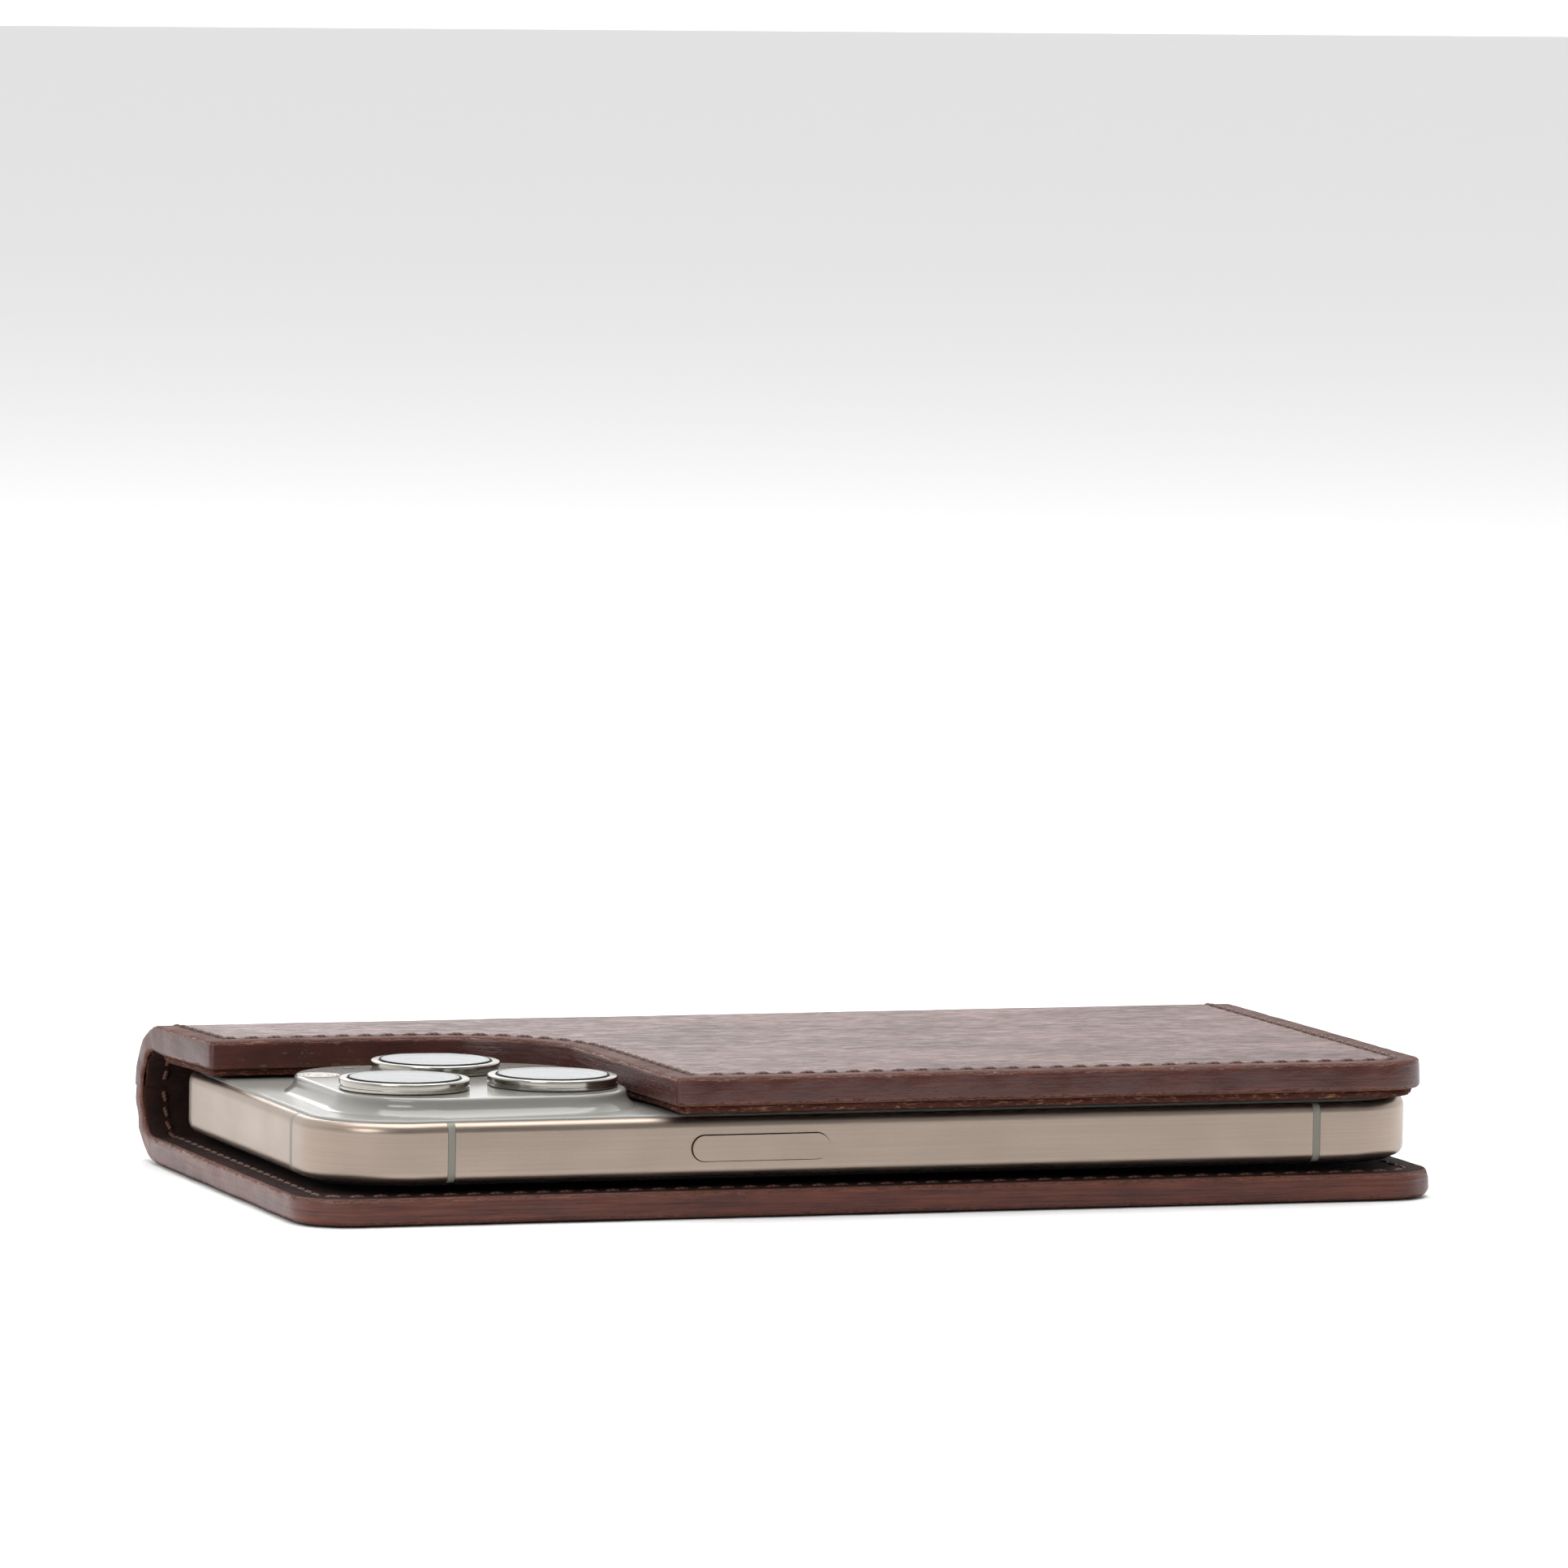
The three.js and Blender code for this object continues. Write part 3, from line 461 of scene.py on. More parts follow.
class Shader:
    """A node material under construction."""

    def __init__(self, name):
        self.material = bpy.data.materials.new(name)
        self.material.use_nodes = True
        self.tree = self.material.node_tree
        self.surface = self.tree.nodes["Principled BSDF"]

    def node(self, kind, settings=None, values=(), **inputs):
        made = self.tree.nodes.new("ShaderNode" + kind)
        for key, value in (settings or {}).items():
            setattr(made, key, value)
        for k, value in enumerate(values):
            self.feed(made.inputs[k], value)
        for key, value in inputs.items():
            self.feed(made.inputs[key.replace("_", " ")], value)
        return made

    def feed(self, socket, value):
        if isinstance(value, bpy.types.NodeSocket):
            self.tree.links.new(value, socket)
        elif value is not None:
            socket.default_value = value

    def set(self, **inputs):
        for key, value in inputs.items():
            self.feed(self.surface.inputs[key.replace("_", " ")], value)

    def attribute(self, name, output="Vector"):
        return self.node("Attribute", {"attribute_name": name}).outputs[output]

    def millimetres(self):
        """The point on the part, in mm."""
        point = self.node("TexCoord").outputs["Object"]
        return self.node("VectorMath", {"operation": "SCALE"}, Vector=point, Scale=1000.0).outputs[0]

    def stretch(self, vector, sizes):
        """The vector counted in features of these sizes, in mm."""
        scale = tuple(1.0 / size for size in sizes)
        return self.node("VectorMath", {"operation": "MULTIPLY"}, (vector, scale)).outputs[0]

    def noise(self, vector, sizes, detail, roughness=0.55, distortion=0.0):
        where = self.stretch(vector, sizes)
        return self.node("TexNoise", Vector=where, Scale=1.0, Detail=detail, Roughness=roughness,
                         Distortion=distortion).outputs["Fac"]

    def cells(self, vector, sizes):
        where = self.stretch(vector, sizes)
        return self.node("TexVoronoi", Vector=where, Scale=1.0).outputs["Distance"]

    def math(self, operation, a, b=None):
        return self.node("Math", {"operation": operation}, (a, b)).outputs[0]

    def ramp(self, value, low, high, start=0.0, end=1.0):
        return self.node("MapRange", None, (value, low, high, start, end)).outputs[0]

    def blend(self, share, a, b):
        made = self.node("Mix", {"data_type": "RGBA"})
        self.feed(made.inputs["Factor"], share)
        self.feed(made.inputs[6], a if isinstance(a, bpy.types.NodeSocket) else (*a, 1.0))
        self.feed(made.inputs[7], b if isinstance(b, bpy.types.NodeSocket) else (*b, 1.0))
        return made.outputs[2]

    def mix(self, share, a, b):
        """A number between a and b."""
        return self.node("Mix", {"data_type": "FLOAT"}, (share, None, a, b)).outputs[0]

    def radius(self, vector, middle, scale=(1.0, 1.0, 1.0)):
        """The distance of the vector from the middle, after scaling."""
        arm = self.node("VectorMath", {"operation": "SUBTRACT"}, (vector, middle)).outputs[0]
        scaled = self.node("VectorMath", {"operation": "MULTIPLY"}, (arm, scale)).outputs[0]
        return self.node("VectorMath", {"operation": "LENGTH"}, (scaled,)).outputs["Value"]

    def bump(self, height, distance, strength=1.0):
        """Raises the surface by up to distance mm."""
        made = self.node("Bump", Height=height, Distance=distance * MM, Strength=strength)
        return made.outputs[0]


def grain_leather(name, paint_dark, paint_light, streaky):
    """Creased pull-up grain leather, with smooth painted edges that have a ragged border."""
    s = Shader(name)
    p = s.attribute("grain")
    border = s.attribute("border", "Fac")
    clouds = s.noise(p, (26, 13, 9), 3, 0.6)
    crumple = s.noise(p, (3.6, 2.2, 2.2), 7, 0.66, 0.5)
    wrinkle = s.noise(p, (4.6, 1.5, 1.5), 5, 0.6, 0.8)
    crease = s.ramp(s.math("ABSOLUTE", s.math("SUBTRACT", wrinkle, 0.5)), 0.0, 0.045)
    pebble = s.cells(p, (1.0, 0.7, 0.7))
    pore = s.noise(p, (0.22, 0.18, 0.18), 2)
    tone = s.math("ADD", s.math("MULTIPLY", clouds, 0.6), s.math("MULTIPLY", crumple, 0.4))
    grain = s.blend(s.ramp(tone, 0.36, 0.64), (0.040, 0.0080, 0.0045), (0.125, 0.0320, 0.0185))
    # Darker along the crease grooves: painted shade where the creases dip.
    grain = s.blend(s.ramp(crease, 0.0, 1.0, 0.45, 0.0), grain, (0.024, 0.0050, 0.0030))
    nibble = s.ramp(s.noise(p, (1.5, 1.5, 0.7), 5, 0.65), 0.32, 0.68, -0.45, 0.32)
    margin = s.ramp(s.math("ADD", border, nibble), STITCH_INSET + 0.1, STITCH_INSET - 0.3)
    grain = s.blend(s.math("MULTIPLY", margin, 0.8), grain, (0.062, 0.0145, 0.0085))
    edge = s.math("SUBTRACT", border, nibble)
    painted = s.ramp(edge, 0.05, -0.05)
    scar = s.ramp(s.math("ABSOLUTE", edge), 0.28, 0.08)
    streaks = s.noise(p, (14, 14, 0.35), 5, 0.65, 0.3)
    smudge = s.noise(p, (7, 7, 2.4), 5, 0.62)
    worn = s.math("ADD", s.math("MULTIPLY", streaks, streaky), s.math("MULTIPLY", smudge, 1.0 - streaky))
    paint = s.blend(s.ramp(worn, 0.37, 0.63), paint_dark, paint_light)
    colour = s.blend(painted, grain, paint)
    # Lighter and redder along the arrises: partly edge wear, partly a painted highlight where the rounded
    # arrises catch the light.
    arris = s.ramp(s.math("ABSOLUTE", border), 0.62, 0.1)
    rubbed_and_highlit = s.math("MULTIPLY", arris, s.ramp(smudge, 0.35, 0.6, 0.3, 0.9))
    colour = s.blend(rubbed_and_highlit, colour, (0.135, 0.034, 0.015))
    torn = s.math("MULTIPLY", scar, s.ramp(s.noise(p, (1.3, 1.3, 0.25), 4, 0.7), 0.46, 0.60))
    colour = s.blend(torn, colour, (0.26, 0.105, 0.055))
    matt = s.ramp(s.math("ADD", crumple, s.math("MULTIPLY", clouds, 0.5)), 0.60, 0.88, 0.46, 0.28)
    matt = s.math("ADD", matt, s.math("MULTIPLY", margin, 0.34))
    rough = s.mix(painted, matt, 0.32)
    relief = s.math("ADD", s.math("MULTIPLY", crumple, 0.75), s.math("MULTIPLY", crease, 0.12))
    relief = s.math("ADD", relief, s.math("MULTIPLY", pebble, 0.16))
    relief = s.math("ADD", relief, s.math("MULTIPLY", pore, 0.08))
    relief = s.math("MULTIPLY", relief, s.math("SUBTRACT", 1.0, s.math("MULTIPLY", painted, 0.9)))
    relief = s.math("ADD", relief, s.math("MULTIPLY", s.math("MULTIPLY", worn, painted), 0.45))
    relief = s.math("SUBTRACT", relief, s.math("MULTIPLY", torn, 0.4))
    s.set(Base_Color=colour, Roughness=rough, Normal=s.bump(relief, 0.6, 1.0), IOR=1.5)
    return s.material


def flesh_leather(name, unfolded=True):
    """Lining leather, dark and napped. An unfolded sheet has a browner cut edge, with pale loose fibres."""
    s = Shader(name)
    p = s.attribute("grain") if unfolded else s.millimetres()
    mottle = s.noise(p, (4, 3, 3), 6, 0.7)
    nap = s.noise(p, (0.5, 0.28, 0.28), 4, 0.7)
    crease = s.noise(p, (6, 1.2, 1.2), 4, 0.55, 0.4)
    colour = s.blend(s.ramp(mottle, 0.35, 0.65), (0.008, 0.0020, 0.0011), (0.028, 0.0078, 0.0045))
    colour = s.blend(s.ramp(nap, 0.6, 0.78, 0.0, 0.3), colour, (0.10, 0.042, 0.022))
    if unfolded:
        cut = s.ramp(s.attribute("border", "Fac"), 0.10, 0.0)
        fibre = s.ramp(s.noise(p, (1.2, 1.2, 0.3), 5, 0.7), 0.54, 0.66)
        brown = s.blend(fibre, (0.055, 0.0125, 0.0065), (0.22, 0.105, 0.055))
        colour = s.blend(cut, colour, brown)
    height = s.math("ADD", nap, s.math("MULTIPLY", crease, 0.8))
    s.set(Base_Color=colour, Roughness=s.ramp(nap, 0.3, 0.7, 0.75, 0.95))
    s.set(Normal=s.bump(height, 0.3, 0.9), IOR=1.33)
    return s.material


def waxed_thread():
    """Brown twisted thread."""
    s = Shader("waxed_thread")
    twist = s.attribute("twist", "Fac")
    ply = s.math("SINE", s.math("MULTIPLY", twist, 2 * math.pi))
    fuzz = s.noise(s.millimetres(), (0.08, 0.08, 0.08), 2)
    # Darker in the grooves of the twist and lighter on its crests: painted shade and highlight on the thread.
    colour = s.blend(s.ramp(ply, -1, 1), (0.030, 0.0085, 0.0050), (0.120, 0.045, 0.024))
    height = s.math("ADD", s.math("MULTIPLY", ply, 0.5), s.math("MULTIPLY", fuzz, 0.4))
    s.set(Base_Color=colour, Roughness=s.ramp(fuzz, 0.3, 0.7, 0.45, 0.62))
    s.set(Normal=s.bump(height, 0.06, 0.8))
    return s.material


def grey_board():
    """Pressed fibre board."""
    s = Shader("grey_board")
    p = s.millimetres()
    fibre = s.noise(p, (1.4, 0.3, 0.3), 5, 0.7)
    fleck = s.noise(p, (0.4, 0.4, 0.4), 2)
    colour = s.blend(s.ramp(fibre, 0.35, 0.65), (0.30, 0.27, 0.22), (0.44, 0.40, 0.33))
    colour = s.blend(s.ramp(fleck, 0.66, 0.72, 0.0, 0.6), colour, (0.12, 0.10, 0.08))
    s.set(Base_Color=colour, Roughness=s.ramp(fibre, 0.3, 0.7, 0.85, 0.95))
    s.set(Normal=s.bump(fibre, 0.1))
    return s.material


def brushed(name, colour, low, high, sizes=(22, 22, 0.16), depth=0.006):
    """Satin metal, its roughness from low to high, with fine lines running round the part."""
    s = Shader(name)
    p = s.millimetres()
    lines = s.noise(p, sizes, 5, 0.7)
    cloud = s.noise(p, (9, 9, 5), 3)
    speck = s.noise(p, (0.08, 0.08, 0.08), 2)
    dark = tuple(c * 0.80 for c in colour)
    tone = s.math("ADD", s.math("MULTIPLY", lines, 0.6), s.math("MULTIPLY", speck, 0.4))
    height = s.math("ADD", lines, s.math("MULTIPLY", speck, 0.5))
    rough = s.ramp(s.math("ADD", cloud, lines), 0.7, 1.3, low, high)
    s.set(Base_Color=s.blend(s.ramp(tone, 0.35, 0.65), dark, colour), Metallic=1.0, Roughness=rough)
    s.set(Normal=s.bump(height, depth, 0.7))
    return s.material


def satin_glass():
    """Tinted back glass, etched matt on its flat part and polished on the camera block and its flare."""
    s = Shader("satin_glass")
    p = s.millimetres()
    height = s.node("SeparateXYZ", Vector=p).outputs["Z"]
    polished = s.ramp(height, 12.68, 12.9)  # where the camera block rises from the flat
    haze = s.noise(p, (14, 14, 14), 3)
    etch = s.noise(p, (0.06, 0.06, 0.06), 2)
    colour = s.blend(haze, (0.190, 0.185, 0.168), (0.225, 0.220, 0.200))
    rough = s.mix(polished, s.ramp(haze, 0.3, 0.7, 0.34, 0.42), 0.15)
    fine = s.math("MULTIPLY", etch, s.math("SUBTRACT", 1.0, polished))
    s.set(Base_Color=colour, Roughness=rough, Normal=s.bump(fine, 0.004, 0.6))
    s.set(IOR=1.5, Coat_Weight=0.2, Coat_Roughness=0.12)
    return s.material


def dark_glass(name, tint, rough=0.04):
    """Polished black glass with faint dust and smears."""
    s = Shader(name)
    p = s.millimetres()
    smear = s.noise(p, (26, 8, 8), 4, 0.6)
    dust = s.ramp(s.noise(p, (0.25, 0.25, 0.25), 1), 0.74, 0.78, 0.0, 0.05)
    colour = s.blend(s.math("ADD", s.math("MULTIPLY", smear, 0.02), dust), tint, (0.5, 0.5, 0.5))
    s.set(Base_Color=colour, Roughness=s.ramp(smear, 0.4, 0.7, rough, rough + 0.07), IOR=1.52)
    return s.material


def lens_cover():
    """The coated cover glass of a camera: clear, with a faint cool tint and smears."""
    s = Shader("lens_cover")
    smear = s.noise(s.millimetres(), (3, 3, 3), 3)
    tint = s.blend(smear, (0.78, 0.82, 0.86), (0.88, 0.90, 0.92))
    s.set(Base_Color=tint, Roughness=s.ramp(smear, 0.3, 0.7, 0.02, 0.05))
    s.set(Transmission_Weight=1.0, IOR=1.27)
    return s.material


def lens_optics():
    """Below the cover glass: black baffle rings round a coated front element."""
    s = Shader("lens_optics")
    box = s.node("TexCoord").outputs["Generated"]
    radius = s.radius(box, (0.5, 0.5, 0.0), (2.0, 2.0, 0.0))
    glassy = s.ramp(radius, 0.47, 0.45)
    baffles = s.math("SINE", s.math("MULTIPLY", radius, 95.0))
    coating = s.blend(s.ramp(radius, 0.05, 0.42), (0.012, 0.026, 0.070), (0.045, 0.016, 0.060))
    # The baffle rings are painted light and dark in step with their ridges: painted shade and highlight on
    # the rings.
    ring = s.blend(s.ramp(baffles, 0.2, 0.9), (0.005, 0.005, 0.006), (0.055, 0.055, 0.060))
    s.set(Base_Color=s.blend(glassy, ring, coating), Normal=s.bump(baffles, 0.12, 0.6))
    s.set(Roughness=s.mix(glassy, 0.45, 0.05), IOR=1.6)
    return s.material


def ringed_lens():
    """The cream flash diffuser, with its moulded rings."""
    s = Shader("flash_diffuser")
    radius = s.radius(s.node("TexCoord").outputs["Generated"], (0.5, 0.5, 0.5))
    rings = s.math("SINE", s.math("MULTIPLY", radius, 110.0))
    colour = s.blend(s.ramp(radius, 0.12, 0.42), (0.92, 0.80, 0.42), (0.82, 0.80, 0.72))
    s.set(Base_Color=colour, Roughness=s.ramp(rings, -1, 1, 0.12, 0.3))
    s.set(Normal=s.bump(rings, 0.05, 0.7))
    s.set(Coat_Weight=0.6, Coat_Roughness=0.03)
    return s.material


def moulded(name, dark, light, rough):
    """Moulded plastic with a fine matt texture."""
    s = Shader(name)
    p = s.millimetres()
    grit = s.noise(p, (0.12, 0.12, 0.12), 3)
    cloud = s.noise(p, (3, 3, 3), 3)
    s.set(Base_Color=s.blend(cloud, dark, light), Roughness=s.ramp(grit, 0.3, 0.7, rough, rough + 0.12))
    s.set(Normal=s.bump(grit, 0.01, 0.6))
    return s.material


def wound_copper():
    """Flat copper winding: rings about the middle of the coil."""
    s = Shader("wound_copper")
    lo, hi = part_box("charging_coil")
    middle = (lo + hi) / 2 / MM
    radius = s.radius(s.millimetres(), tuple(middle))
    turns = s.math("SINE", s.math("MULTIPLY", radius, 9.0))
    colour = s.blend(s.ramp(turns, -0.8, 0.6), (0.16, 0.06, 0.03), (0.72, 0.36, 0.18))
    s.set(Base_Color=colour, Metallic=1.0, Roughness=s.ramp(turns, -1, 1, 0.5, 0.3))
    s.set(Normal=s.bump(turns, 0.1))
    return s.material


def printed_board():
    """Solder mask over copper tracks."""
    s = Shader("printed_board")
    p = s.millimetres()
    tracks = s.node("TexBrick", Vector=s.stretch(p, (9, 9, 9)), Scale=5.0).outputs["Fac"]
    cloud = s.noise(p, (6, 6, 6), 2)
    mask = s.blend(cloud, (0.010, 0.045, 0.030), (0.016, 0.065, 0.042))
    colour = s.blend(tracks, mask, (0.035, 0.12, 0.07))
    s.set(Base_Color=colour, Roughness=s.ramp(cloud, 0.3, 0.7, 0.35, 0.5))
    s.set(Normal=s.bump(tracks, 0.04))
    return s.material


# Pieces


def make_leather(front_grain, back_grain, flesh, thread_look):
    """The leathers that bend over the folds, their linings and the stitches along their edges."""
    front_edge = eased(FRONT_EDGE, SPINE_EDGE, -1.0, 8.0)
    front_rings = leather_rings(
        front_edge, eased(FRONT_SHELF, SPINE_LEATHER, -2.5, 1.0),
        eased(FRONT_LEATHER, SPINE_FLOOR, -1.0, 0.0), groove=0.34, lip=1.0)
    front = sheet("outer_leather_front", LOWER, cover_outline(), front_rings, (0.0, front_edge),
                  seed=1.0, fray=0.3)
    back_edge = eased(BACK_EDGE, SPINE_EDGE, -2.0, 6.0)
    back_rings = leather_rings(
        back_edge, eased(BACK_SHELF, SPINE_LEATHER, -3.5, 1.0), SPINE_FLOOR, groove=0.3, lip=0.6)
    back = sheet("outer_leather_back", UPPER, panel_outline(), back_rings, (0.0, back_edge),
                 seed=5.0, fray=0.26)
    hinge_faces = (eased(FRONT_LINING[0], SPINE_LINING[0], -0.8, 2.5),
                   eased(FRONT_LINING[1], SPINE_LINING[1], -0.8, 4.0))
    hinge_lining = sheet("hinge_lining", LOWER, hinge_outline(), lining_rings(*hinge_faces), hinge_faces,
                         seed=9.0, fray=0.3)
    back_faces = (eased(BACK_LINING[0], SPINE_LINING[0], -2.5, 1.5),
                  eased(BACK_LINING[1], SPINE_LINING[1], -3.5, 4.0))
    back_lining = sheet("back_lining", UPPER, panel_outline(BACK_LINING_INSET), lining_rings(*back_faces),
                        back_faces, seed=13.0, fray=0.5)
    inner_stitches_front = eased(FRONT_LINING[1] - 0.04, SPINE_LINING[1] - 0.05, -0.8, 4.0)
    inner_stitches_back = eased(BACK_LINING[1] - 0.05, SPINE_LINING[1] - 0.05, -3.5, 4.0)
    stitches = [
        thread("stitches_front_outer", LOWER, cover_outline(), 0.30, -1),
        thread("stitches_back_outer", UPPER, panel_outline(), 0.06, -1),
        thread("stitches_front_inner", LOWER, cover_outline(), inner_stitches_front, 1),
        thread("stitches_back_inner", UPPER, panel_outline(), inner_stitches_back, 1),
    ]
    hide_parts("front_cover_leather", "spine_leather")
    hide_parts("back_panel_leather")
    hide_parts("spine_lining")
    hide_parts("back_panel_lining")
    for piece in (front, hinge_lining, stitches[0], stitches[2]):
        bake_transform(piece)
    for piece in (back, back_lining, stitches[1], stitches[3]):
        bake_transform(piece)
    for piece, grain in ((front, front_grain), (back, back_grain)):
        piece.data.materials.append(grain)
    for piece in (hinge_lining, back_lining):
        piece.data.materials.append(flesh)
    for piece in stitches:
        piece.data.materials.append(thread_look)


def round_off(mesh):
    """Custom normals that run smoothly over faces meeting at less than CREASE_DEGREES."""
    meeting = {}
    for face in mesh.polygons:
        for k in face.vertices:
            place = tuple(round(c * 1e6) for c in mesh.vertices[k].co)
            meeting.setdefault(place, []).append(face.normal * face.area)
    least = math.cos(math.radians(CREASE_DEGREES))
    normals = []
    for face in mesh.polygons:
        for k in face.vertices:
            place = tuple(round(c * 1e6) for c in mesh.vertices[k].co)
            near = [n for n in meeting[place] if n.length > 0 and n.normalized().dot(face.normal) > least]
            normals.append(sum(near, Vector()).normalized() if near else face.normal)
    mesh.shade_smooth()
    mesh.normals_split_custom_set(normals)


def dress(material, *names, bevel=0.0):
    """Gives CAD nodes a material, smooth shading and softened edges."""
    for name in names:
        node = bpy.data.objects[name]
        node.data.materials.clear()
        node.data.materials.append(material)
        if bevel == 0.0:
            round_off(node.data)
            continue
        node.data.shade_smooth()
        node.modifiers.new("join", "WELD").merge_threshold = 0.001 * MM
        edge = node.modifiers.new("edge", "BEVEL")
        edge.width = bevel * MM
        edge.segments = 3
        edge.limit_method = "ANGLE"
        edge.angle_limit = math.radians(40)
        node.modifiers.new("facets", "WEIGHTED_NORMAL")


def make_lenses(metal, rubber, cover):
    """Each camera: a turned ring with a waist, a black seal and a cover glass. Profiles are (radius, z)."""
    top, base, foot = LENS_RING_TOP, LENS_RING_SEAT, LENS_RING_FOOT
    for lens in ("main", "tele", "wide"):
        lo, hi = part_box(lens + "_lens_ring")
        x, y = (lo.x + hi.x) / 2 / MM, (lo.y + hi.y) / 2 / MM
        outer = (hi.x - lo.x) / 2 / MM
        waist = outer - 0.22
        seat = outer - LENS_RIM_WIDTH
        ring = lathe(lens + "_ring", [
            (LENS_BORE, LENS_SKIRT_FOOT), (LENS_SKIRT, LENS_SKIRT_FOOT), (LENS_SKIRT, foot),
            (outer - 0.12, foot), (outer, foot + 0.1), (outer, foot + 0.40),
            (waist, foot + 0.46), (waist, foot + 0.62), (outer, foot + 0.68),
            *rounded(outer, top, 0.22),
            (seat + 0.1, top), (seat, top - 0.08), (seat, base), (LENS_BORE, base),
        ], (x, y))
        seal = lathe(lens + "_seal", [
            (LENS_SEAL_BORE, base + 0.02), (seat - 0.03, base + 0.02),
            (seat - 0.03, top + 0.06), (seat - 0.09, top + 0.12), (seat - 0.18, top + 0.13),
            (seat - 0.21, top), (seat - 0.21, base + 0.1), (LENS_SEAL_BORE, base + 0.1),
        ], (x, y))
        glass = lathe(lens + "_cover_glass", [
            (0, base + 0.14), (seat - 0.31, base + 0.14), (seat - 0.25, base + 0.2),
            (seat - 0.25, top + 0.06), (seat - 0.32, top + 0.13), (0, top + 0.14),
        ], (x, y))
        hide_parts(lens + "_lens_ring")
        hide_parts(lens + "_lens_glass")
        for piece, look, slot in ((ring, metal, "polished_metal"), (seal, rubber, "lens_glass"),
                                  (glass, cover, "lens_glass")):
            piece.data.materials.append(look)
            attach(piece, "phone")


def dress_cad(flesh):
    """The looks of the CAD nodes, and the lenses made in their place."""
    titanium = brushed("brushed_titanium", TITANIUM, 0.30, 0.42)
    polished = brushed("satin_steel", STEEL, 0.12, 0.22, sizes=(3, 3, 0.1), depth=0.002)
    nickel = brushed("nickel_plate", NICKEL, 0.25, 0.4, sizes=(4, 4, 4))
    black_plastic = moulded("black_plastic", (0.012, 0.012, 0.013), (0.022, 0.022, 0.024), 0.45)
    pockets = ("card_pocket_back", "card_pocket_middle", "card_pocket_front")
    dress(flesh, "front_cover_lining", *pockets, bevel=0.1)
    dress(grey_board(), "front_cover_board", "back_panel_board")
    dress(nickel, "magnet_ring", "magnet_shunt", "alignment_magnet", "phone_magnet_ring", bevel=0.1)
    dress(titanium, "phone_frame")
    dress(titanium, "side_button", "action_button", "volume_up_button", "volume_down_button", bevel=0.22)
    dress(satin_glass(), "phone_back_glass")
    dress(dark_glass("screen_glass", (0.004, 0.004, 0.005)), "display_glass")
    dress(dark_glass("display_stack", (0.010, 0.010, 0.014), 0.1), "display_panel")
    dress(dark_glass("sensor_glass", (0.010, 0.008, 0.014)), "front_camera_glass", "depth_sensor_window")
    seal = moulded("lens_seal", (0.004, 0.004, 0.004), (0.009, 0.009, 0.009), 0.8)
    make_lenses(polished, seal, lens_cover())
    dress(lens_optics(), "main_lens_barrel", "tele_lens_barrel", "wide_lens_barrel")
    dress(ringed_lens(), "flash_window")
    dress(black_plastic, "rear_microphone", "earpiece_grille", "port_tongue")
    dress(polished, "port_shell", "port_screw_1", "port_screw_2")
    strips = [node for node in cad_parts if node.startswith("antenna_strip")]
    dress(moulded("antenna_plastic", (0.165, 0.160, 0.135), (0.205, 0.198, 0.168), 0.42), *strips)
    dress(moulded("battery_film", (0.015, 0.015, 0.017), (0.035, 0.035, 0.038), 0.35), "battery")
    dress(printed_board(), "circuit_board")
    dress(wound_copper(), "charging_coil")


# Stage


def make_camera():
    """The photograph's camera."""
    data = bpy.data.cameras.new("camera")
    data.lens, data.sensor_width = CAMERA_LENS, CAMERA_SENSOR
    data.clip_start, data.clip_end = 0.05, 50.0
    camera = bpy.data.objects.new("camera", data)
    bpy.context.scene.collection.objects.link(camera)
    azimuth, elevation, roll = map(math.radians, (CAMERA_AZIMUTH, CAMERA_ELEVATION, CAMERA_ROLL))
    level = math.cos(elevation)
    back = Vector((math.sin(azimuth) * level, -math.cos(azimuth) * level, math.sin(elevation)))
    camera.rotation_mode = "QUATERNION"
    camera.rotation_quaternion = (-back).to_track_quat("-Z", "Y") @ Quaternion((0, 0, 1), roll)
    camera.location = Vector(CAMERA_AIM) + back * CAMERA_DISTANCE
    bpy.context.scene.camera = camera


def make_floor():
    """White paper under the case."""
    bm = bmesh.new()
    bmesh.ops.create_grid(bm, x_segments=8, y_segments=8, size=6.0)
    floor = finished("floor", bm, 30)
    floor.location.z = -0.0002  # just clear of the leather
    s = Shader("paper_floor")
    tooth = s.noise(s.millimetres(), (1.5, 1.5, 1.5), 3)
    s.set(Base_Color=s.blend(tooth, (0.86, 0.86, 0.86), (0.90, 0.90, 0.90)))
    s.set(Roughness=s.ramp(tooth, 0.3, 0.7, 0.85, 0.95))
    floor.data.materials.append(s.material)


def make_light(name, place, aim, size, watts):
    """A rectangular lamp of this size (width, height) at a place, turned to what it aims at."""
    data = bpy.data.lights.new(name, "AREA")
    data.shape = "RECTANGLE"
    data.size, data.size_y = size
    data.energy = watts
    light = bpy.data.objects.new(name, data)
    light.location = place
    light.rotation_mode = "QUATERNION"
    light.rotation_quaternion = (Vector(place) - Vector(aim)).to_track_quat("Z", "Y")
    bpy.context.scene.collection.objects.link(light)


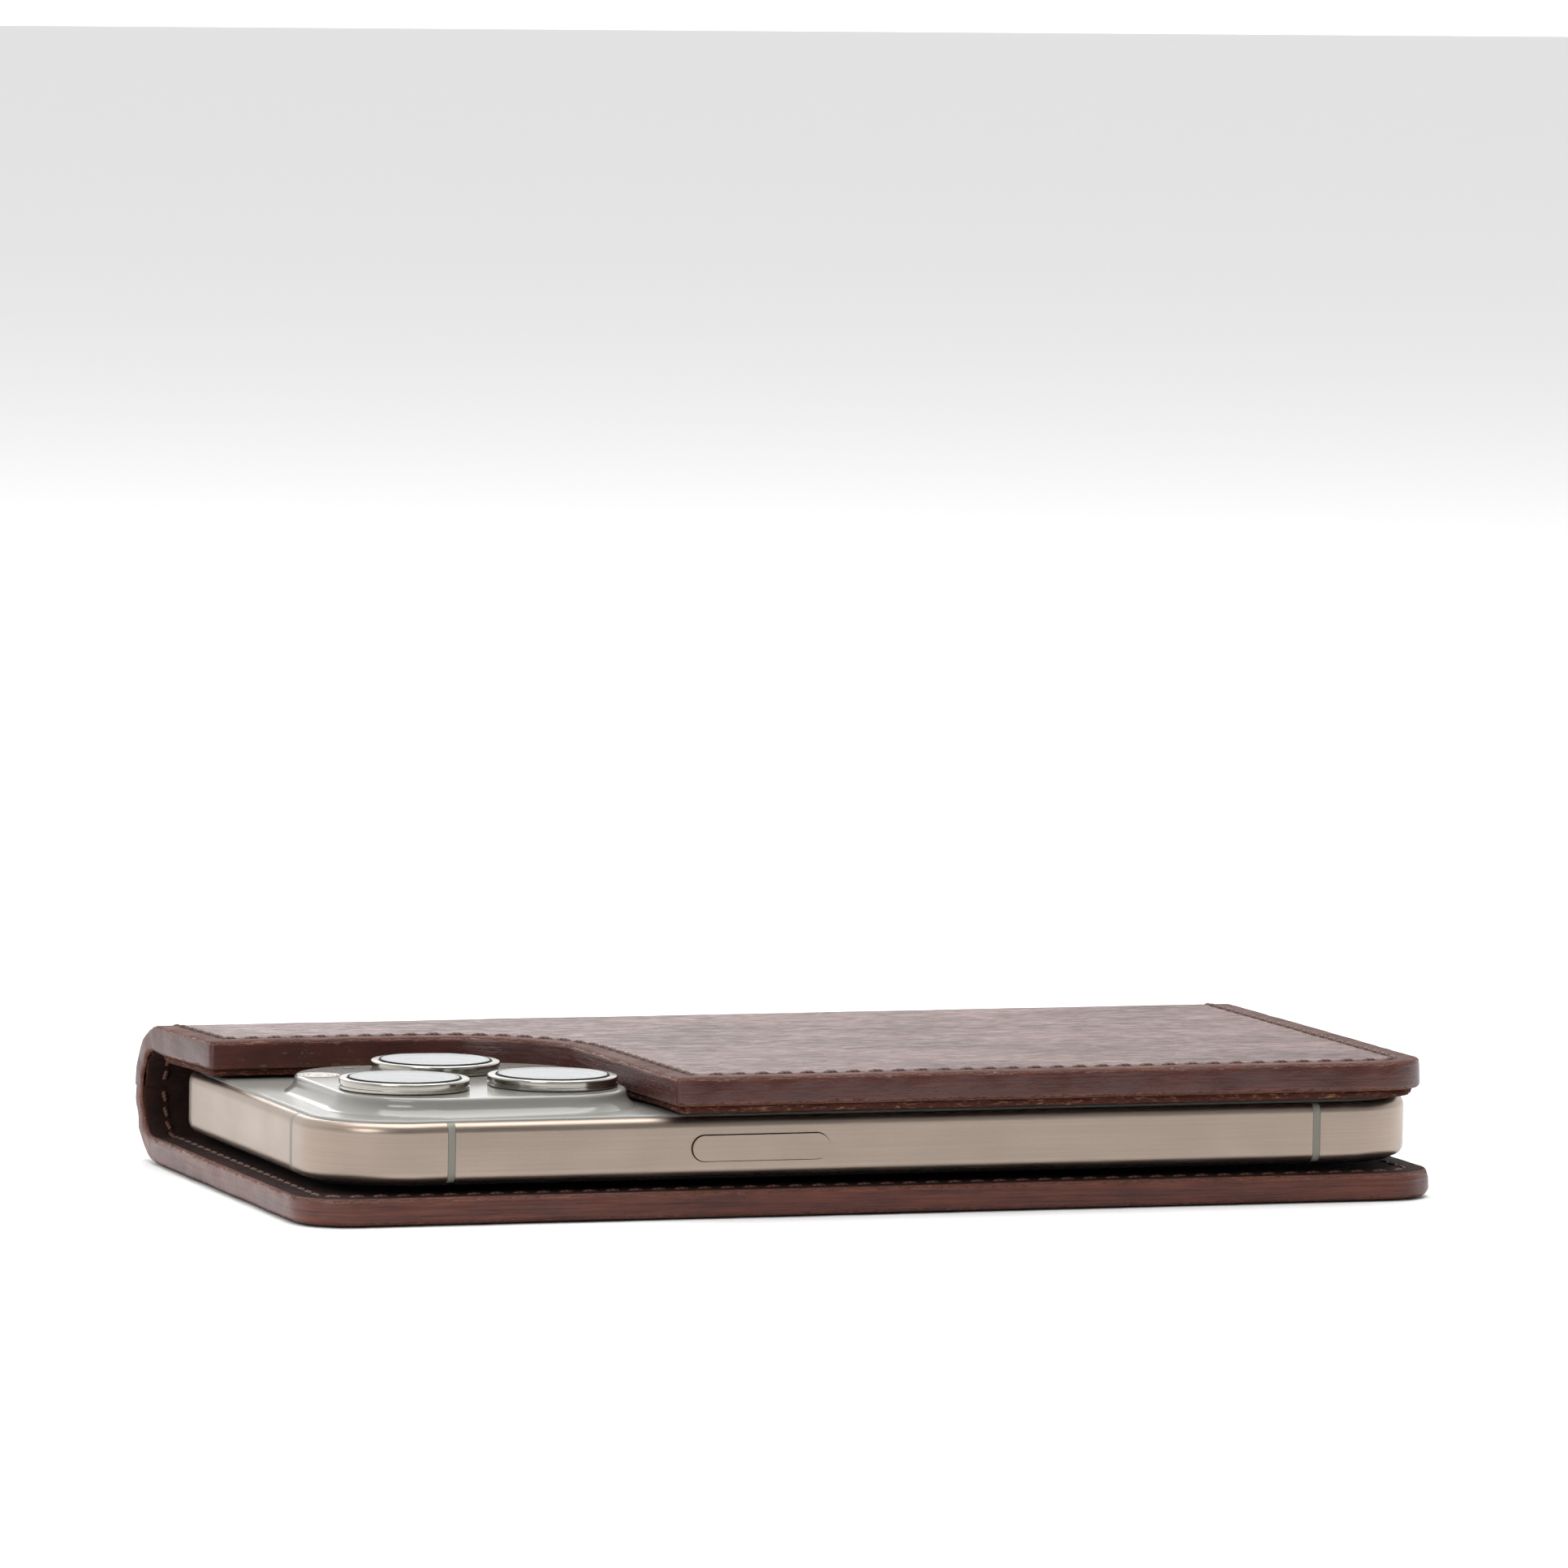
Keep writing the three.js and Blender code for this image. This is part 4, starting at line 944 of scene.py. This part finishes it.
def make_world():
    """A white tent, brighter behind the object than on the camera's side."""
    world = bpy.data.worlds.new("tent")
    bpy.context.scene.world = world
    world.use_nodes = True
    nodes, links = world.node_tree.nodes, world.node_tree.links
    direction = nodes.new("ShaderNodeTexCoord")
    split = nodes.new("ShaderNodeSeparateXYZ")
    ramp = nodes.new("ShaderNodeMapRange")
    ramp.inputs[1].default_value, ramp.inputs[2].default_value = -0.6, 0.5
    ramp.inputs[3].default_value, ramp.inputs[4].default_value = 0.36, 1.25
    links.new(direction.outputs["Generated"], split.inputs[0])
    links.new(split.outputs["Y"], ramp.inputs[0])
    links.new(ramp.outputs[0], nodes["Background"].inputs["Strength"])
    nodes["Background"].inputs["Color"].default_value = (1, 1, 1, 1)


def make_stage():
    """The camera, the floor and the lights, with colours shown as they are."""
    make_camera()
    make_floor()
    make_world()
    make_light("overhead", (0.1, 0.1, 1.2), (0, 0, 0), (1.2, 1.2), 16)
    make_light("front_left", (-0.9, -0.9, 0.7), (0, 0, 0), (0.7, 0.5), 6)
    make_light("back", (0.08, 0.75, 0.34), (-0.06, 0, 0.02), (0.30, 0.22), 0.6)
    bpy.context.scene.view_settings.view_transform = "Standard"


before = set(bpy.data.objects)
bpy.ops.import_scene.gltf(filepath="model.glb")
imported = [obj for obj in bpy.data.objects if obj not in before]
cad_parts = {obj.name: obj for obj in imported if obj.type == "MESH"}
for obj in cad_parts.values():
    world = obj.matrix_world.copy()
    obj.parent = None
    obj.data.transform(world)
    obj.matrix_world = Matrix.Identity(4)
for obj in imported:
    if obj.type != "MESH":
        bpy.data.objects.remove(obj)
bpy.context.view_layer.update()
make_stage()
lining_look = flesh_leather("lining_leather")
# The front's edge paint is lighter and redder than the back's same paint: painted light for the floor's
# bounce on the lower edge.
front_look = grain_leather("front_grain_leather", paint_dark=(0.034, 0.0044, 0.0020),
                           paint_light=(0.130, 0.0270, 0.0120), streaky=0.7)
back_look = grain_leather("back_grain_leather", paint_dark=(0.038, 0.0050, 0.0026),
                          paint_light=(0.062, 0.0115, 0.0068), streaky=0.25)
make_leather(front_look, back_look, lining_look, waxed_thread())
dress_cad(flesh_leather("card_pocket_leather", unfolded=False))
